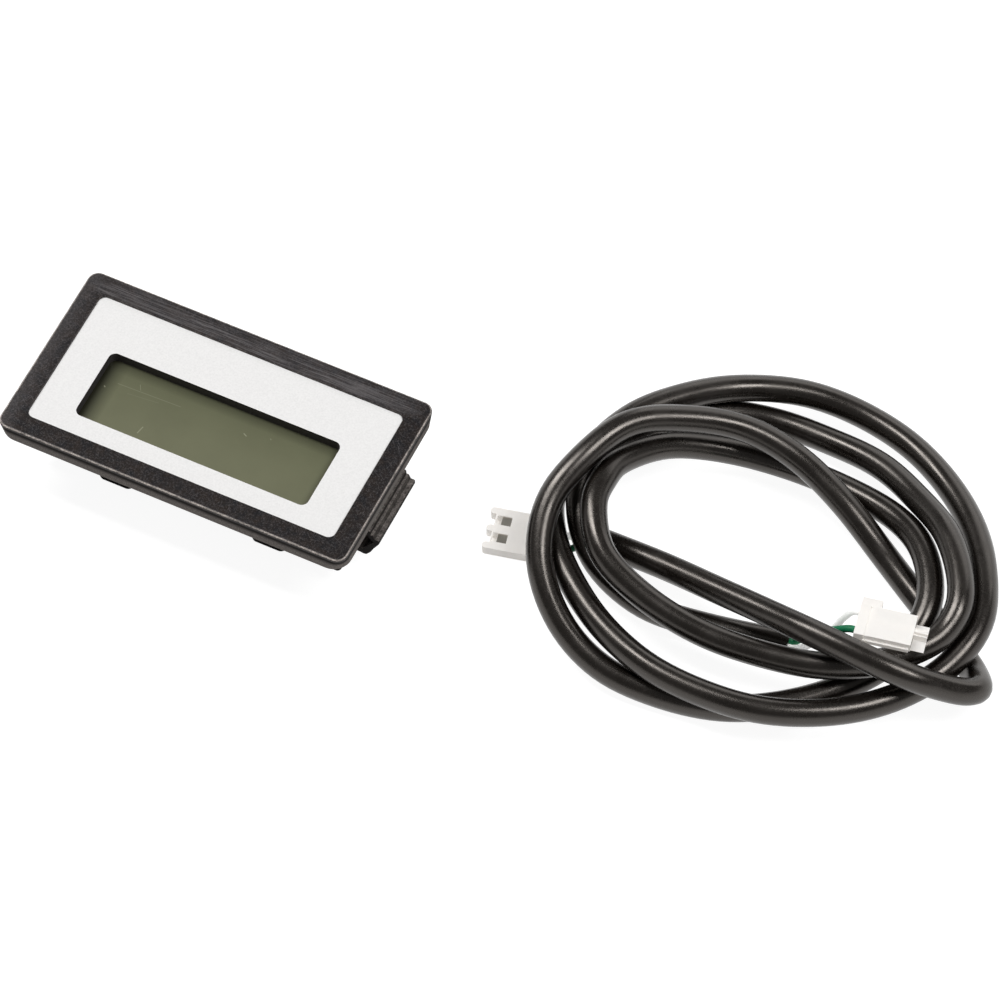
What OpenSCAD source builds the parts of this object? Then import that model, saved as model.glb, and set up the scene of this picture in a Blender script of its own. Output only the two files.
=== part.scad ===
// Panel-mount tachometer: a snap-in display head with a coiled two-wire lead.
// Millimetres. X runs along the long side, Y toward the far edge, Z up.
// The origin is centred under the head, which lies on its rear feet.

/* [Bezel] */
// Length of the bezel
bezel_l = 46.2; // [36:0.1:60]
// Width of the bezel
bezel_w = 25; // [20:0.5:36]
// Thickness of the bezel flange
bezel_t = 2.4; // [1.8:0.1:4]
// Corner radius of the bezel in plan, at its back
bezel_r = 2.3; // [1:0.1:4]
// Corner radius of the bezel in plan, at its face
face_r = 1.4; // [0.8:0.1:2.3]
// Radius rolled along the edges of the face
bezel_edge = 0.3; // [0.1:0.05:0.6]
// Height from the feet to the bezel face
head_h = 11.6; // [11:0.1:14]

/* [Faceplate] */
// Length of the faceplate
plate_l = 40.8; // [32:0.1:42]
// Width of the faceplate
plate_w = 19.4; // [16:0.1:21]
// Offset of the faceplate from the centre, along Y
plate_y = -0.1; // [-0.3:0.05:0.3]
// Thickness of the faceplate
plate_t = 0.2; // [0.1:0.05:0.6]
// Depth of the faceplate below the bezel face
plate_drop = 0.25; // [0:0.05:0.4]
// Corner radius of the faceplate
plate_r = 0.9; // [0.2:0.1:2]

/* [Window] */
// Length of the display window
window_l = 30.9; // [26:0.1:31.6]
// Width of the display window
window_w = 9.9; // [8:0.1:10.4]
// Offset of the window from the centre, along Y
window_y = -2.1; // [-2.4:0.1:0]
// Corner radius of the window
window_r = 0.9; // [0.2:0.1:2]

/* [Housing] */
// Length of the housing behind the panel
housing_l = 41; // [34:0.1:42]
// Width of the housing behind the panel
housing_w = 17; // [16:0.1:20]
// Thickness of the housing walls
wall = 1.2; // [0.8:0.1:1.6]
// Thickness of the rear cover
cover_t = 1; // [0.8:0.1:1.2]
// Height of the rear feet
foot_h = 2.5; // [2:0.1:3]
// Distance between the feet along X
foot_gap = 20.6; // [16:0.1:30]

/* [Snap clips] */
// Width of each clip
clip_w = 9.75; // [6:0.05:12]
// Reach of each clip past the housing wall
clip_reach = 3.5; // [3:0.1:4]
// Thinnest panel that the clips hold
panel_min = 1.25; // [1:0.05:1.5]
// Rise from one clip step to the next
clip_step = 0.68; // [0.5:0.02:0.8]

/* [Display] */
// Length of the display glass
glass_l = 32.4; // [31:0.1:32.4]
// Thickness of each display glass
glass_t = 0.7; // [0.4:0.1:0.8]

/* [Circuit board] */
// Thickness of the circuit board
board_t = 0.8; // [0.6:0.1:1]
// Diameter of the coin cell
cell_d = 12.5; // [10:0.1:12.5]
// Thickness of the coin cell
cell_t = 2; // [1.4:0.1:2]
// Pitch of the two connector pins
pitch = 2.5; // [2:0.1:2.54]
// Side of each square pin
pin = 0.64; // [0.5:0.02:0.7]

/* [Lead] */
// Outer diameter of the lead's jacket
lead_d = 3.3; // [2.8:0.1:3.3]
// Outer diameter of each wire in the lead
wire_d = 0.9; // [0.8:0.05:0.95]

/* [Plugs] */
// Width of the plug that lies on the surface
plug_w = 5.9; // [5.6:0.1:6]
// Width of the upper plug's body
body_w = 4.2; // [4.1:0.1:4.6]
// Thickness of the plugs
plug_t = 1.4; // [1.4:0.1:2.2]
// Length of each plug
plug_l = 8.4; // [8:0.1:8.6]

/* [Hidden] */
bezel_z = head_h - bezel_t;
plate_z = head_h - plate_drop - plate_t;
front_z = head_h - 1.75;
cavity_l = housing_l - 2 * wall;
cavity_w = housing_w - 2 * wall;
cover_z = foot_h;
cover_top = cover_z + cover_t;
polariser_t = 0.2;
glass_z = front_z - polariser_t - glass_t;
rear_glass_z = glass_z - glass_t;
reflector_z = rear_glass_z - polariser_t;
glass_near = -cavity_w / 2 + 0.1;
ledge_w = 2.6;
rear_glass_w = 10.8;
cell_gap = 0.45;
pad_t = 0.25;
cell_z = cover_top + cell_gap;
board_z = cell_z + cell_t + pad_t;
frame_z = board_z + board_t;
board_l = cavity_l - 0.4;
board_w = cavity_w - 0.4;
post_d = 3.2;
post_inset = 1.45;
post_x = cavity_l / 2 - post_inset;
post_y = cavity_w / 2 - post_inset;
screw_d = 1.4;
board_screw_l = 2.6;
board_screw_inset = 1.5;
zebra_l = 28;
zebra_w = 1.5;
opening_l = 26;
opening_w = 6.4;
notch = 2.4;
strap_w = 4;
strap_t = 0.25;
foot_l = 4.6;
foot_w = 3;
foot_y = 7.65 - foot_w / 2;
clip_x = housing_l / 2;
clip_out = clip_x + clip_reach;
header_x = -9;
chip_x = -2;
socket_l = 7.4;
socket_w = 3.2;
socket_wall = 0.6;
cell_x = 8.6;
pad_l = 8;
pin_rise = 0.4;
side_n = 8;
lead_r = lead_d / 2;
wire_r = wire_d / 2;

// Plug A lies on the surface, and plug B on top of the lead's own turns.
// Each is placed by the middle of its rear face and turned about Z.
plug_a_at = [41.25, 7.5, 0];
plug_a_turn = 193;
plug_b_at = [80.2, 7.6, 9.1];
plug_b_turn = 11;
tooth = 0.8;
skin = 0.15;

// The lead's centre line, from plug A's end to plug B's end.
lead_route = [
    [47, 9.5, 1.7], [55, 8.5, 3.5], [62.5, 7, 5.5], [70, 5.5, 7.5],
    [76.5, 4, 9.5], [83.5, 3.5, 9.5], [88.5, 4, 8.5], [92, 5.5, 6.5],
    [94.5, 7, 5], [95.5, 8.5, 4], [95, 10, 3], [93.5, 12, 1.7],
    [90, 14.5, 1.7], [83.5, 18.5, 1.7], [77.5, 22, 2.5], [71, 25, 5],
    [64, 27.5, 6.5], [57, 27.5, 8.5], [50.5, 24.5, 10.5], [45, 20, 12],
    [42, 13.5, 11.5], [40.5, 7, 9.5], [42.5, 0.5, 7], [47.5, -4.5, 4.5],
    [54, -7, 2.5], [61.5, -7, 1.7], [69, -5.5, 1.7], [75.5, -2, 2],
    [81, 3, 2.5], [85, 9, 3.5], [86, 16, 5.5], [82.5, 22.5, 5.5],
    [77, 26.5, 4], [69.5, 28.5, 2.5], [62, 28.5, 2.5], [55, 26.5, 4],
    [49, 22.5, 6.5], [45.5, 17, 8.5], [45, 13, 9.5], [45.5, 9, 9.5],
    [49, 4, 8.5], [55.5, 1.5, 7], [63, 0.5, 6], [70, 1, 5.5],
    [77.5, 2.5, 5.5], [83.5, 5, 6.5], [87, 8, 7], [89.5, 12, 7.3],
    [89.5, 17, 8.5], [85, 24, 8], [79, 29, 5.5], [72.5, 32.5, 4],
    [65, 34, 2.5], [57.5, 34, 2], [50.5, 31.5, 2.5], [45, 26, 3],
    [41, 19, 4], [39, 12, 4.5], [42, 5.5, 5], [47, 0.5, 5],
    [53, -3.5, 5], [60, -6, 5], [67.5, -6.5, 5], [74.5, -5.5, 5],
    [81.5, -2, 4.5], [87, 3, 4], [91, 9, 4.5], [92.5, 16, 5.5],
    [90, 23, 5.5], [86, 29, 4.5], [80.5, 34, 3.5], [74, 37.5, 3],
    [66.5, 39, 3], [59.5, 38, 4], [52.5, 34.5, 5], [47.5, 29.5, 6.5],
    [43.5, 23.5, 7.5], [41.5, 16, 7.5], [43.5, 9.5, 6], [48, 5, 4],
    [55, 3, 2.5], [62.5, 4, 1.7], [70, 5.5, 1.7], [72.5, 6, 1.7]
];

$fn = 48;

// Plan outline with rounded corners, centred.
module rounded(l, w, r) {
    hull()
        for (x = [-1, 1], y = [-1, 1])
            translate([x * (l / 2 - r), y * (w / 2 - r)]) circle(r, $fn = 32);
}

// Straight slab on a rounded outline, from z up by t.
module slab(l, w, r, z, t) {
    translate([0, 0, z]) linear_extrude(t) rounded(l, w, r);
}

// Plain block centred in plan, from z up by t.
module block(l, w, z, t) {
    translate([-l / 2, -w / 2, z]) cube([l, w, t]);
}

// Places its children at each of the four cover posts.
module at_posts() {
    for (x = [-1, 1], y = [-1, 1])
        translate([x * post_x, y * post_y, 0]) children();
}

// Places its children at the four corners of the bezel, r in from its sides.
module at_corners(r) {
    for (x = [-1, 1], y = [-1, 1])
        translate([x * (bezel_l / 2 - r), y * (bezel_w / 2 - r), 0]) children();
}

// Flange with its face edges rolled over, and corners fuller at the back.
module flange() {
    hull() {
        at_corners(bezel_r) translate([0, 0, bezel_z])
            cylinder(r = bezel_r, h = 0.4, $fn = 32);
        at_corners(face_r) translate([0, 0, head_h - bezel_edge])
            rotate_extrude($fn = 32) translate([face_r - bezel_edge, 0])
                circle(bezel_edge, $fn = 16);
    }
}

// Side view of one snap clip: a hooked arm whose head steps up toward the
// flange in three treads, with a hollow between the arm and the wall.
module clip_profile() {
    tread = bezel_z - panel_min;
    foot = cover_z;
    arm = tread - 2 * clip_step - foot;
    polygon([
        [clip_x - 0.2, foot + 0.1],
        [clip_x + 0.9, foot + 0.1],
        [clip_x + 1.35, foot],
        [clip_x + 1.75, foot + 0.1],
        [clip_x + 2.3, foot + 0.22 * arm],
        [clip_x + 2.75, foot + 0.48 * arm],
        [clip_out - 0.1, foot + 0.78 * arm],
        [clip_out, foot + 0.84 * arm],
        [clip_out, tread - 2 * clip_step - 0.1],
        [clip_out - 0.1, tread - 2 * clip_step],
        [clip_out - 0.55, tread - 2 * clip_step],
        [clip_out - 0.8, tread - clip_step],
        [clip_out - 1.1, tread - clip_step],
        [clip_out - 1.15, tread],
        [clip_out - 1.7, tread],
        [clip_out - 1.5, tread - 1.2],
        [clip_out - 0.75, tread - 2.2],
        [clip_x + 2.05, foot + 0.56 * arm],
        [clip_x + 1.3, foot + 0.28 * arm],
        [clip_x + 0.7, foot + 1.25],
        [clip_x - 0.2, foot + 1.7]
    ]);
}

module clip() {
    translate([0, clip_w / 2, 0])
        rotate([90, 0, 0]) linear_extrude(clip_w) clip_profile();
}

module bezel_case() color([0.16, 0.16, 0.16]) {
    difference() {
        union() {
            flange();
            block(housing_l, housing_w, cover_z, bezel_z - cover_z + 0.1);
            clip();
            mirror([1, 0, 0]) clip();
        }
        translate([0, plate_y, 0])
            slab(plate_l, plate_w, plate_r, plate_z, head_h);
        translate([0, window_y, 0])
            slab(window_l, window_w, window_r, cover_z, head_h);
        difference() {
            block(cavity_l, cavity_w, 0, front_z);
            at_posts() translate([0, 0, cover_top])
                cylinder(d = post_d, h = front_z);
        }
        at_posts() translate([0, 0, cover_top - 0.1])
            cylinder(d = screw_d, h = 4.1);
    }
}

module faceplate() color([0.93, 0.92, 0.92]) {
    difference() {
        translate([0, plate_y, 0])
            slab(plate_l - 0.02, plate_w - 0.02, plate_r, plate_z, plate_t);
        translate([0, window_y, 0])
            slab(window_l, window_w, window_r, 0, head_h);
    }
}

// Sheet of the display stack: w wide from the near edge of the cavity.
module sheet(l, w, z, t) {
    translate([-l / 2, glass_near, z]) cube([l, w, t]);
}

module lcd_front_polariser() color([0.44, 0.45, 0.36])
    sheet(glass_l - 0.6, rear_glass_w - 0.2, front_z - polariser_t, polariser_t);

module lcd_front_glass() color([0.7, 0.75, 0.7])
    sheet(glass_l, rear_glass_w + ledge_w, glass_z, glass_t);

module lcd_rear_glass() color([0.7, 0.75, 0.7])
    sheet(glass_l, rear_glass_w, rear_glass_z, glass_t);

module lcd_reflector() color([0.6, 0.62, 0.5])
    sheet(glass_l - 0.6, rear_glass_w - 0.2, reflector_z, polariser_t);

// Corner notches that clear the four posts.
module post_clearance() {
    for (x = [-1, 1], y = [-1, 1])
        translate([x * (post_x + 1), y * (post_y + 1), 0])
            block(post_d + notch, post_d + notch, 0, head_h);
}

module lcd_frame() color([0.9, 0.9, 0.88]) {
    rim = cavity_l / 2 - 0.1;
    difference() {
        union() {
            block(2 * rim, board_w, frame_z, reflector_z - frame_z);
            for (x = [-1, 1])
                translate([x * (rim + glass_l / 2 + 0.1) / 2, 0, 0])
                    block(rim - glass_l / 2 - 0.1, board_w, frame_z,
                        front_z - frame_z);
        }
        block(opening_l, opening_w, 0, head_h);
        translate([0, zebra_y(), 0])
            block(zebra_l + 0.2, zebra_w + 0.2, 0, head_h);
        post_clearance();
        for (x = [-1, 1])
            translate([x * board_screw_x(), 0, board_z])
                cylinder(d = screw_d, h = board_screw_l + 0.2);
    }
}

function zebra_y() = glass_near + rear_glass_w + ledge_w / 2 + 0.1;
function board_screw_x() = cavity_l / 2 - board_screw_inset;

module zebra_strip() color([0.15, 0.15, 0.17])
    translate([0, zebra_y(), 0])
        block(zebra_l, zebra_w, frame_z, glass_z - frame_z);

module circuit_board() color([0.1, 0.35, 0.2]) {
    difference() {
        block(board_l, board_w, board_z, board_t);
        post_clearance();
        for (x = [-1, 1])
            translate([x * board_screw_x(), 0, 0])
                cylinder(d = screw_d + 0.2, h = head_h);
        for (x = [-1, 1])
            translate([header_x + x * pitch / 2, 0, 0])
                block(pin, pin, 0, head_h);
    }
}

// Small cross-head screw with its head below z and its shank going up.
module screw(z, shank, head_d) {
    difference() {
        union() {
            translate([0, 0, z - 0.7]) cylinder(d = head_d, h = 0.7);
            translate([0, 0, z - 0.1]) cylinder(d = screw_d, h = shank + 0.1);
        }
        for (a = [0, 90])
            rotate([0, 0, a]) block(0.36, head_d * 0.6, z - 1, 0.65);
    }
}

module board_screw(i) color([0.75, 0.75, 0.75])
    translate([[-1, 1][i] * board_screw_x(), 0, 0])
        screw(board_z, board_screw_l, 2.5);

module controller_chip() color([0.1, 0.1, 0.1])
    translate([chip_x, -2.6, 0]) block(4.8, 4.8, board_z - 1.2, 1.05);

// Leads down both long sides of the chip, each with a foot on the board.
module chip_leads() color([0.8, 0.8, 0.8])
    for (s = [-1, 1], i = [0:7])
        translate([chip_x + (i - 3.5) * 0.6, -2.6 + s * 2.4, 0]) {
            translate([-0.12, s > 0 ? 0 : -0.5, board_z - 0.75])
                cube([0.24, 0.5, 0.15]);
            translate([-0.12, s > 0 ? 0.35 : -0.5, board_z - 0.75])
                cube([0.24, 0.15, 0.75]);
            translate([-0.12, s > 0 ? 0.35 : -0.85, board_z - 0.15])
                cube([0.24, 0.5, 0.15]);
        }

module crystal() color([0.8, 0.8, 0.82])
    translate([-4.4, 4.6, board_z - 1.1]) rotate([0, 90, 0])
        union() {
            cylinder(d = 2, h = 5.6);
            translate([0, 0, 0.4]) cylinder(d = 2.2, h = 0.4);
        }

// Surface-mount part: a body between two end caps, against the board.
module chip_part(l, w, t) {
    block(l, w, board_z - t, t);
    for (x = [-1, 1])
        translate([x * (l / 2 - 0.2), 0, 0])
            block(0.4, w + 0.06, board_z - t - 0.03, t + 0.03);
}

module capacitor(i) color([0.7, 0.6, 0.45])
    translate([-15 + 2.6 * i, 5.2, 0]) chip_part(1.6, 0.8, 0.8);

module resistor(i) color([0.12, 0.12, 0.12])
    translate([-15.4 + 2.6 * i, -5.4, 0]) chip_part(1.6, 0.8, 0.45);

module coin_cell() color([0.75, 0.75, 0.75])
    translate([cell_x, 0, cell_z]) {
        translate([0, 0, 0.3]) cylinder(d = cell_d, h = cell_t - 0.6);
        cylinder(d = cell_d - 0.5, h = 0.35);
        translate([0, 0, cell_t - 0.5]) cylinder(d = cell_d - 2, h = 0.5);
    }

// Spring strap over the cell, with a leg down to the board at each end.
module cell_clip() color([0.8, 0.78, 0.72])
    translate([cell_x, 0, 0]) {
        leg = cell_d / 2 + 0.15;
        block(2 * (leg + strap_t), strap_w, cell_z - strap_t, strap_t);
        for (x = [-1, 1]) {
            translate([x * (leg + strap_t / 2), 0, 0])
                block(strap_t, strap_w, cell_z - strap_t,
                    board_z - cell_z + strap_t);
            translate([x * (leg + 0.6), 0, 0])
                block(1.2, strap_w, board_z - 0.2, 0.2);
        }
    }

module cell_pad() color([0.85, 0.7, 0.35])
    translate([cell_x, 0, 0]) block(pad_l, pad_l, board_z - pad_t, pad_t);

// Open socket under the board, its walls reaching down past the cover.
module header_base() color([0.93, 0.92, 0.88])
    translate([header_x, 0, 0]) difference() {
        block(socket_l, socket_w, 0.5, board_z - 0.5);
        block(socket_l - 2 * socket_wall, socket_w - 2 * socket_wall, 0,
            board_z - 1.4);
        translate([0, -socket_w / 2, 0])
            block(1.6, 2 * socket_wall + 0.2, 0, 3);
        for (x = [-1, 1])
            translate([x * pitch / 2, 0, 0]) block(pin, pin, 0, head_h);
    }

module header_pin(i) color([0.8, 0.78, 0.7])
    translate([header_x + [-1, 1][i] * pitch / 2, 0, 0])
        block(pin, pin, 1.2, frame_z + pin_rise - 1.2);

module rear_cover() color([0.14, 0.14, 0.14])
    difference() {
        union() {
            block(cavity_l - 0.1, cavity_w - 0.1, cover_z, cover_t);
            translate([header_x, 0, 0])
                block(socket_l + 1.8, socket_w + 1.8, cover_z, cover_t + 0.6);
        }
        translate([header_x, 0, 0])
            block(socket_l + 0.2, socket_w + 0.2, 0, head_h);
        at_posts() cylinder(d = screw_d + 0.2, h = head_h);
        at_posts() cylinder(d = 2.7, h = cover_z + 0.5);
    }

module cover_screw(i) color([0.75, 0.75, 0.75])
    translate([[-1, 1, 1, -1][i] * post_x, [-1, -1, 1, 1][i] * post_y, 0])
        screw(cover_z + 0.5, 3.6, 2.6);

module foot_pad(i) color([0.08, 0.08, 0.08])
    translate([[-1, 1, 1, -1][i] * foot_gap / 2, [-1, -1, 1, 1][i] * foot_y, 0])
        slab(foot_l, foot_w, 0.8, 0, foot_h);

// Sweep of a regular polygon along a list of points, closed at both ends.
function unit(v) = v / norm(v);
function heading(p, i) =
    unit(p[min(i + 1, len(p) - 1)] - p[max(i - 1, 0)]);
function beside(t) = unit(cross(t, [0, 0, 1]));
function ring(c, t, r) = let (u = beside(t), v = cross(u, t))
    [for (k = [0:side_n - 1]) let (a = (k + 0.5) * 360 / side_n)
        c + r * cos(a) * u + r * sin(a) * v];

module tube(p, r) {
    n = len(p);
    points = [for (i = [0:n - 1]) each ring(p[i], heading(p, i), r)];
    sides = [for (i = [0:n - 2], k = [0:side_n - 1])
        let (a = i * side_n + k, b = i * side_n + (k + 1) % side_n)
            [a, b, b + side_n, a + side_n]];
    first = [[for (k = [side_n - 1:-1:0]) k]];
    last = [[for (k = [0:side_n - 1]) (n - 1) * side_n + k]];
    polyhedron(points, concat(sides, first, last), convexity = 8);
}

module lead_jacket() color([0.12, 0.12, 0.12]) tube(lead_route, lead_r);

// A plug's own frame: X from its rear face to its mating end, Z up.
module at_a() {
    translate(plug_a_at) rotate([0, 0, plug_a_turn]) children();
}

module at_b() {
    translate(plug_b_at) rotate([0, 0, plug_b_turn]) children();
}

function placed(p, at, turn) = [
    at[0] + p[0] * cos(turn) - p[1] * sin(turn),
    at[1] + p[0] * sin(turn) + p[1] * cos(turn),
    at[2] + p[2]
];

// Block centred on the plug's axis, between two distances from its rear.
module span(x0, x1, w, z, t) {
    translate([x0, -w / 2, z]) cube([x1 - x0, w, t]);
}

// Places its children on each contact's axis.
module at_cavities() {
    for (y = [-1, 1]) translate([0, y * pitch / 2, 0]) children();
}

// Space inside a plug: a cavity open at the mating end, and a wire's hole.
module cavities() {
    at_cavities() {
        span(1.2, plug_l + 1, 1.5, skin, plug_t - 2 * skin);
        translate([-1, 0, plug_t / 2]) rotate([0, 90, 0])
            cylinder(d = wire_d + 0.12, h = 3);
    }
}

// Plug with three rounded teeth, and a window over each contact.
module plug_a() color([0.95, 0.95, 0.94]) at_a() {
    front = plug_l - tooth;
    difference() {
        union() {
            span(0, front, plug_w, 0, plug_t);
            for (y = [-1:1]) translate([0, y * pitch, 0]) {
                span(front - 0.1, plug_l - 0.45, 0.9, 0, plug_t);
                translate([plug_l - 0.45, 0, 0]) cylinder(d = 0.9, h = plug_t);
            }
        }
        cavities();
        at_cavities() span(front - 2, front - 0.2, 1.3, plug_t / 2, plug_t);
        translate([0.9, -plug_w / 2 - 1, -1]) cube([0.25, 1.15, 9]);
        translate([0.9, plug_w / 2 - 0.15, -1]) cube([0.25, 1.15, 9]);
    }
}

// Plug seen from its plain side: a rear collar with a tab, a narrower body
// with a rail low on one side, and a nose in two blocks.
module plug_b() color([0.96, 0.96, 0.96]) at_b() {
    nose = plug_l - 1.6;
    difference() {
        union() {
            span(0, 1.2, body_w + 0.1, 0, plug_t);
            span(1.1, nose, body_w, 0, plug_t - 0.05);
            translate([0, body_w / 2 - 0.1, 0]) cube([2.4, 1.3, plug_t - 0.4]);
            translate([1.1, -body_w / 2 - 0.25, 0]) cube([nose - 1.3, 0.35, 0.6]);
            translate([nose - 0.1, -body_w / 2 + 0.1, 0.1])
                cube([1.7, body_w - 0.6, plug_t - 0.35]);
        }
        cavities();
        translate([nose, -0.35, -1]) cube([3, 0.3, 9]);
        translate([nose + 0.35, -pitch / 2 - 0.45, 0.8]) cube([0.8, 0.9, 3]);
        translate([1.2, -3, plug_t - 0.15]) cube([0.25, 6, 1]);
    }
}

// Box contact that a header pin enters, in one cavity of a plug.
module contact(side) {
    translate([0, side * pitch / 2, 0]) difference() {
        span(2, plug_l - 1.6, 1.3, skin + 0.05, plug_t - 2 * skin - 0.1);
        span(plug_l - 4, plug_l, 0.8, skin + 0.2, 0.7);
    }
}

module contact_a(i) color([0.7, 0.68, 0.62]) at_a() contact([-1, 1][i]);
module contact_b(i) color([0.7, 0.68, 0.62]) at_b() contact([-1, 1][i]);

// Wire from the jacket's end face, out along the jacket's own direction, by
// way of its own points, and into a plug's cavity up to the contact.
module wire(end, out, start_side, via, at, turn, side) {
    start = end + start_side * (wire_r + 0.05) * beside(out);
    inside = [for (x = [-0.7, 0.3, 2])
        placed([x, side * pitch / 2, plug_t / 2], at, turn)];
    tube(concat([start, start + 0.7 * out], via, inside), wire_r);
}

module wire_a(start_side, via, side) {
    wire(lead_route[0], -heading(lead_route, 0), start_side, via,
        plug_a_at, plug_a_turn, side);
}

module wire_b(start_side, via, side) {
    last = len(lead_route) - 1;
    wire(lead_route[last], heading(lead_route, last), start_side, via,
        plug_b_at, plug_b_turn, side);
}

module wire_a_green() color([0.25, 0.6, 0.45])
    wire_a(-1, [[44.9, 8.7, 1], [43.6, 7.7, 0.8]], 1);

module wire_a_white() color([0.93, 0.93, 0.92])
    wire_a(1, [[44.9, 9.9, 1], [43.3, 9.3, 0.8]], -1);

module wire_b_green() color([0.25, 0.6, 0.45])
    wire_b(-1, [[74.2, 7, 3.2], [75.4, 6.7, 5], [76.7, 6.4, 6.9],
        [78.1, 6.1, 8.6]], -1);

module wire_b_white() color([0.93, 0.93, 0.92])
    wire_b(1, [[74.6, 6.1, 2.4], [76.2, 7.4, 4], [77.4, 8.1, 6],
        [78.3, 8.3, 8.3]], 1);

bezel_case();
faceplate();
lcd_front_polariser();
lcd_front_glass();
lcd_rear_glass();
lcd_reflector();
lcd_frame();
zebra_strip();
circuit_board();
board_screw(0);  // board_screw_1
board_screw(1);  // board_screw_2
controller_chip();
chip_leads();
crystal();
capacitor(0);  // capacitor_1
capacitor(1);  // capacitor_2
capacitor(2);  // capacitor_3
resistor(0);  // resistor_1
resistor(1);  // resistor_2
resistor(2);  // resistor_3
resistor(3);  // resistor_4
coin_cell();
cell_clip();
cell_pad();
header_base();
header_pin(0);  // header_pin_1
header_pin(1);  // header_pin_2
rear_cover();
cover_screw(0);  // cover_screw_1
cover_screw(1);  // cover_screw_2
cover_screw(2);  // cover_screw_3
cover_screw(3);  // cover_screw_4
foot_pad(0);  // foot_pad_1
foot_pad(1);  // foot_pad_2
foot_pad(2);  // foot_pad_3
foot_pad(3);  // foot_pad_4
lead_jacket();
wire_a_green();
wire_a_white();
plug_a();
contact_a(0);  // contact_a_1
contact_a(1);  // contact_a_2
wire_b_green();
wire_b_white();
plug_b();
contact_b(0);  // contact_b_1
contact_b(1);  // contact_b_2
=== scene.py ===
"""Dresses a panel-mount tachometer: a snap-in display head and its coiled two-wire lead.

Everything is in metres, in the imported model's own frame: X along the head's long
side, Y toward its far edge, Z up, with the head lying on its rear feet.
"""

import logging
import math
from abc import ABC, abstractmethod
from dataclasses import dataclass, field
from enum import Enum

import bmesh
import bpy
from mathutils import Euler, Matrix, Vector

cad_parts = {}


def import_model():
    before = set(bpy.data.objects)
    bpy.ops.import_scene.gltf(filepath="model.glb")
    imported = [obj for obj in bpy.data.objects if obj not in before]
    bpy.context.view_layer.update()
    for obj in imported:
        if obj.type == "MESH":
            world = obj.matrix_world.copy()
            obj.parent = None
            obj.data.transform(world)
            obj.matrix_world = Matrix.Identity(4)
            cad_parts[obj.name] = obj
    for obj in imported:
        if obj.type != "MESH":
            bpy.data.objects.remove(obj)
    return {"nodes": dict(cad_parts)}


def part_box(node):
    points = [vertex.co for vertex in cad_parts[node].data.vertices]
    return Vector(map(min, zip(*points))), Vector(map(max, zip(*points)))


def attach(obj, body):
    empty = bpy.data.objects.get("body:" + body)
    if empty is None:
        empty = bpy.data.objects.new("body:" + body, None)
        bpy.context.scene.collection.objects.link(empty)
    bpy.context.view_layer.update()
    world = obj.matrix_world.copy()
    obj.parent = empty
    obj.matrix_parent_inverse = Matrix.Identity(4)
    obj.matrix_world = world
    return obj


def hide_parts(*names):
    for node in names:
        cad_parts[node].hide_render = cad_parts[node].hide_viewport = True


Colour = tuple[float, float, float]
Point = tuple[float, float, float]
Socket = bpy.types.NodeSocket
Input = Socket | float | Colour

LOG = logging.getLogger("tachometer")
MM = 0.001
BODY = "root"

# Sizes that the head's shape and its finishes share
BEZEL = (46.2 * MM, 25 * MM)
BEZEL_FACE = 11.6 * MM
PLATE_FACE = 11.35 * MM
WINDOW = (30.9 * MM, 9.9 * MM)
WINDOW_ACROSS = -2.1 * MM

# How finely the new shapes are drawn
CORNER_STEPS = 8
SHARP_ANGLE = math.radians(35)
EASING_PASSES = 3


def linear(red: int, green: int, blue: int) -> Colour:
    """Turns a colour read off a screen, 0 to 255, into linear light."""
    channels = (value / 255 for value in (red, green, blue))
    return tuple(
        value / 12.92 if value <= 0.04045 else ((value + 0.055) / 1.055) ** 2.4
        for value in channels
    )


def shaded(colour: Colour, factor: float) -> Colour:
    """Makes a colour darker by a factor below 1."""
    return tuple(value * factor for value in colour)


def shrunk(size: tuple[float, float], inset: float) -> tuple[float, float]:
    """Takes an inset off each side of a length and a width."""
    return (size[0] - 2 * inset, size[1] - 2 * inset)


def linked(name: str, data: bpy.types.ID) -> bpy.types.Object:
    """Makes an object at the origin and links it to the scene.

    Args:
        name: the object's name.
        data: its mesh, curve, lamp or camera.

    Returns:
        The new object.
    """
    made = bpy.data.objects.new(name, data)
    bpy.context.scene.collection.objects.link(made)
    return made


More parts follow.
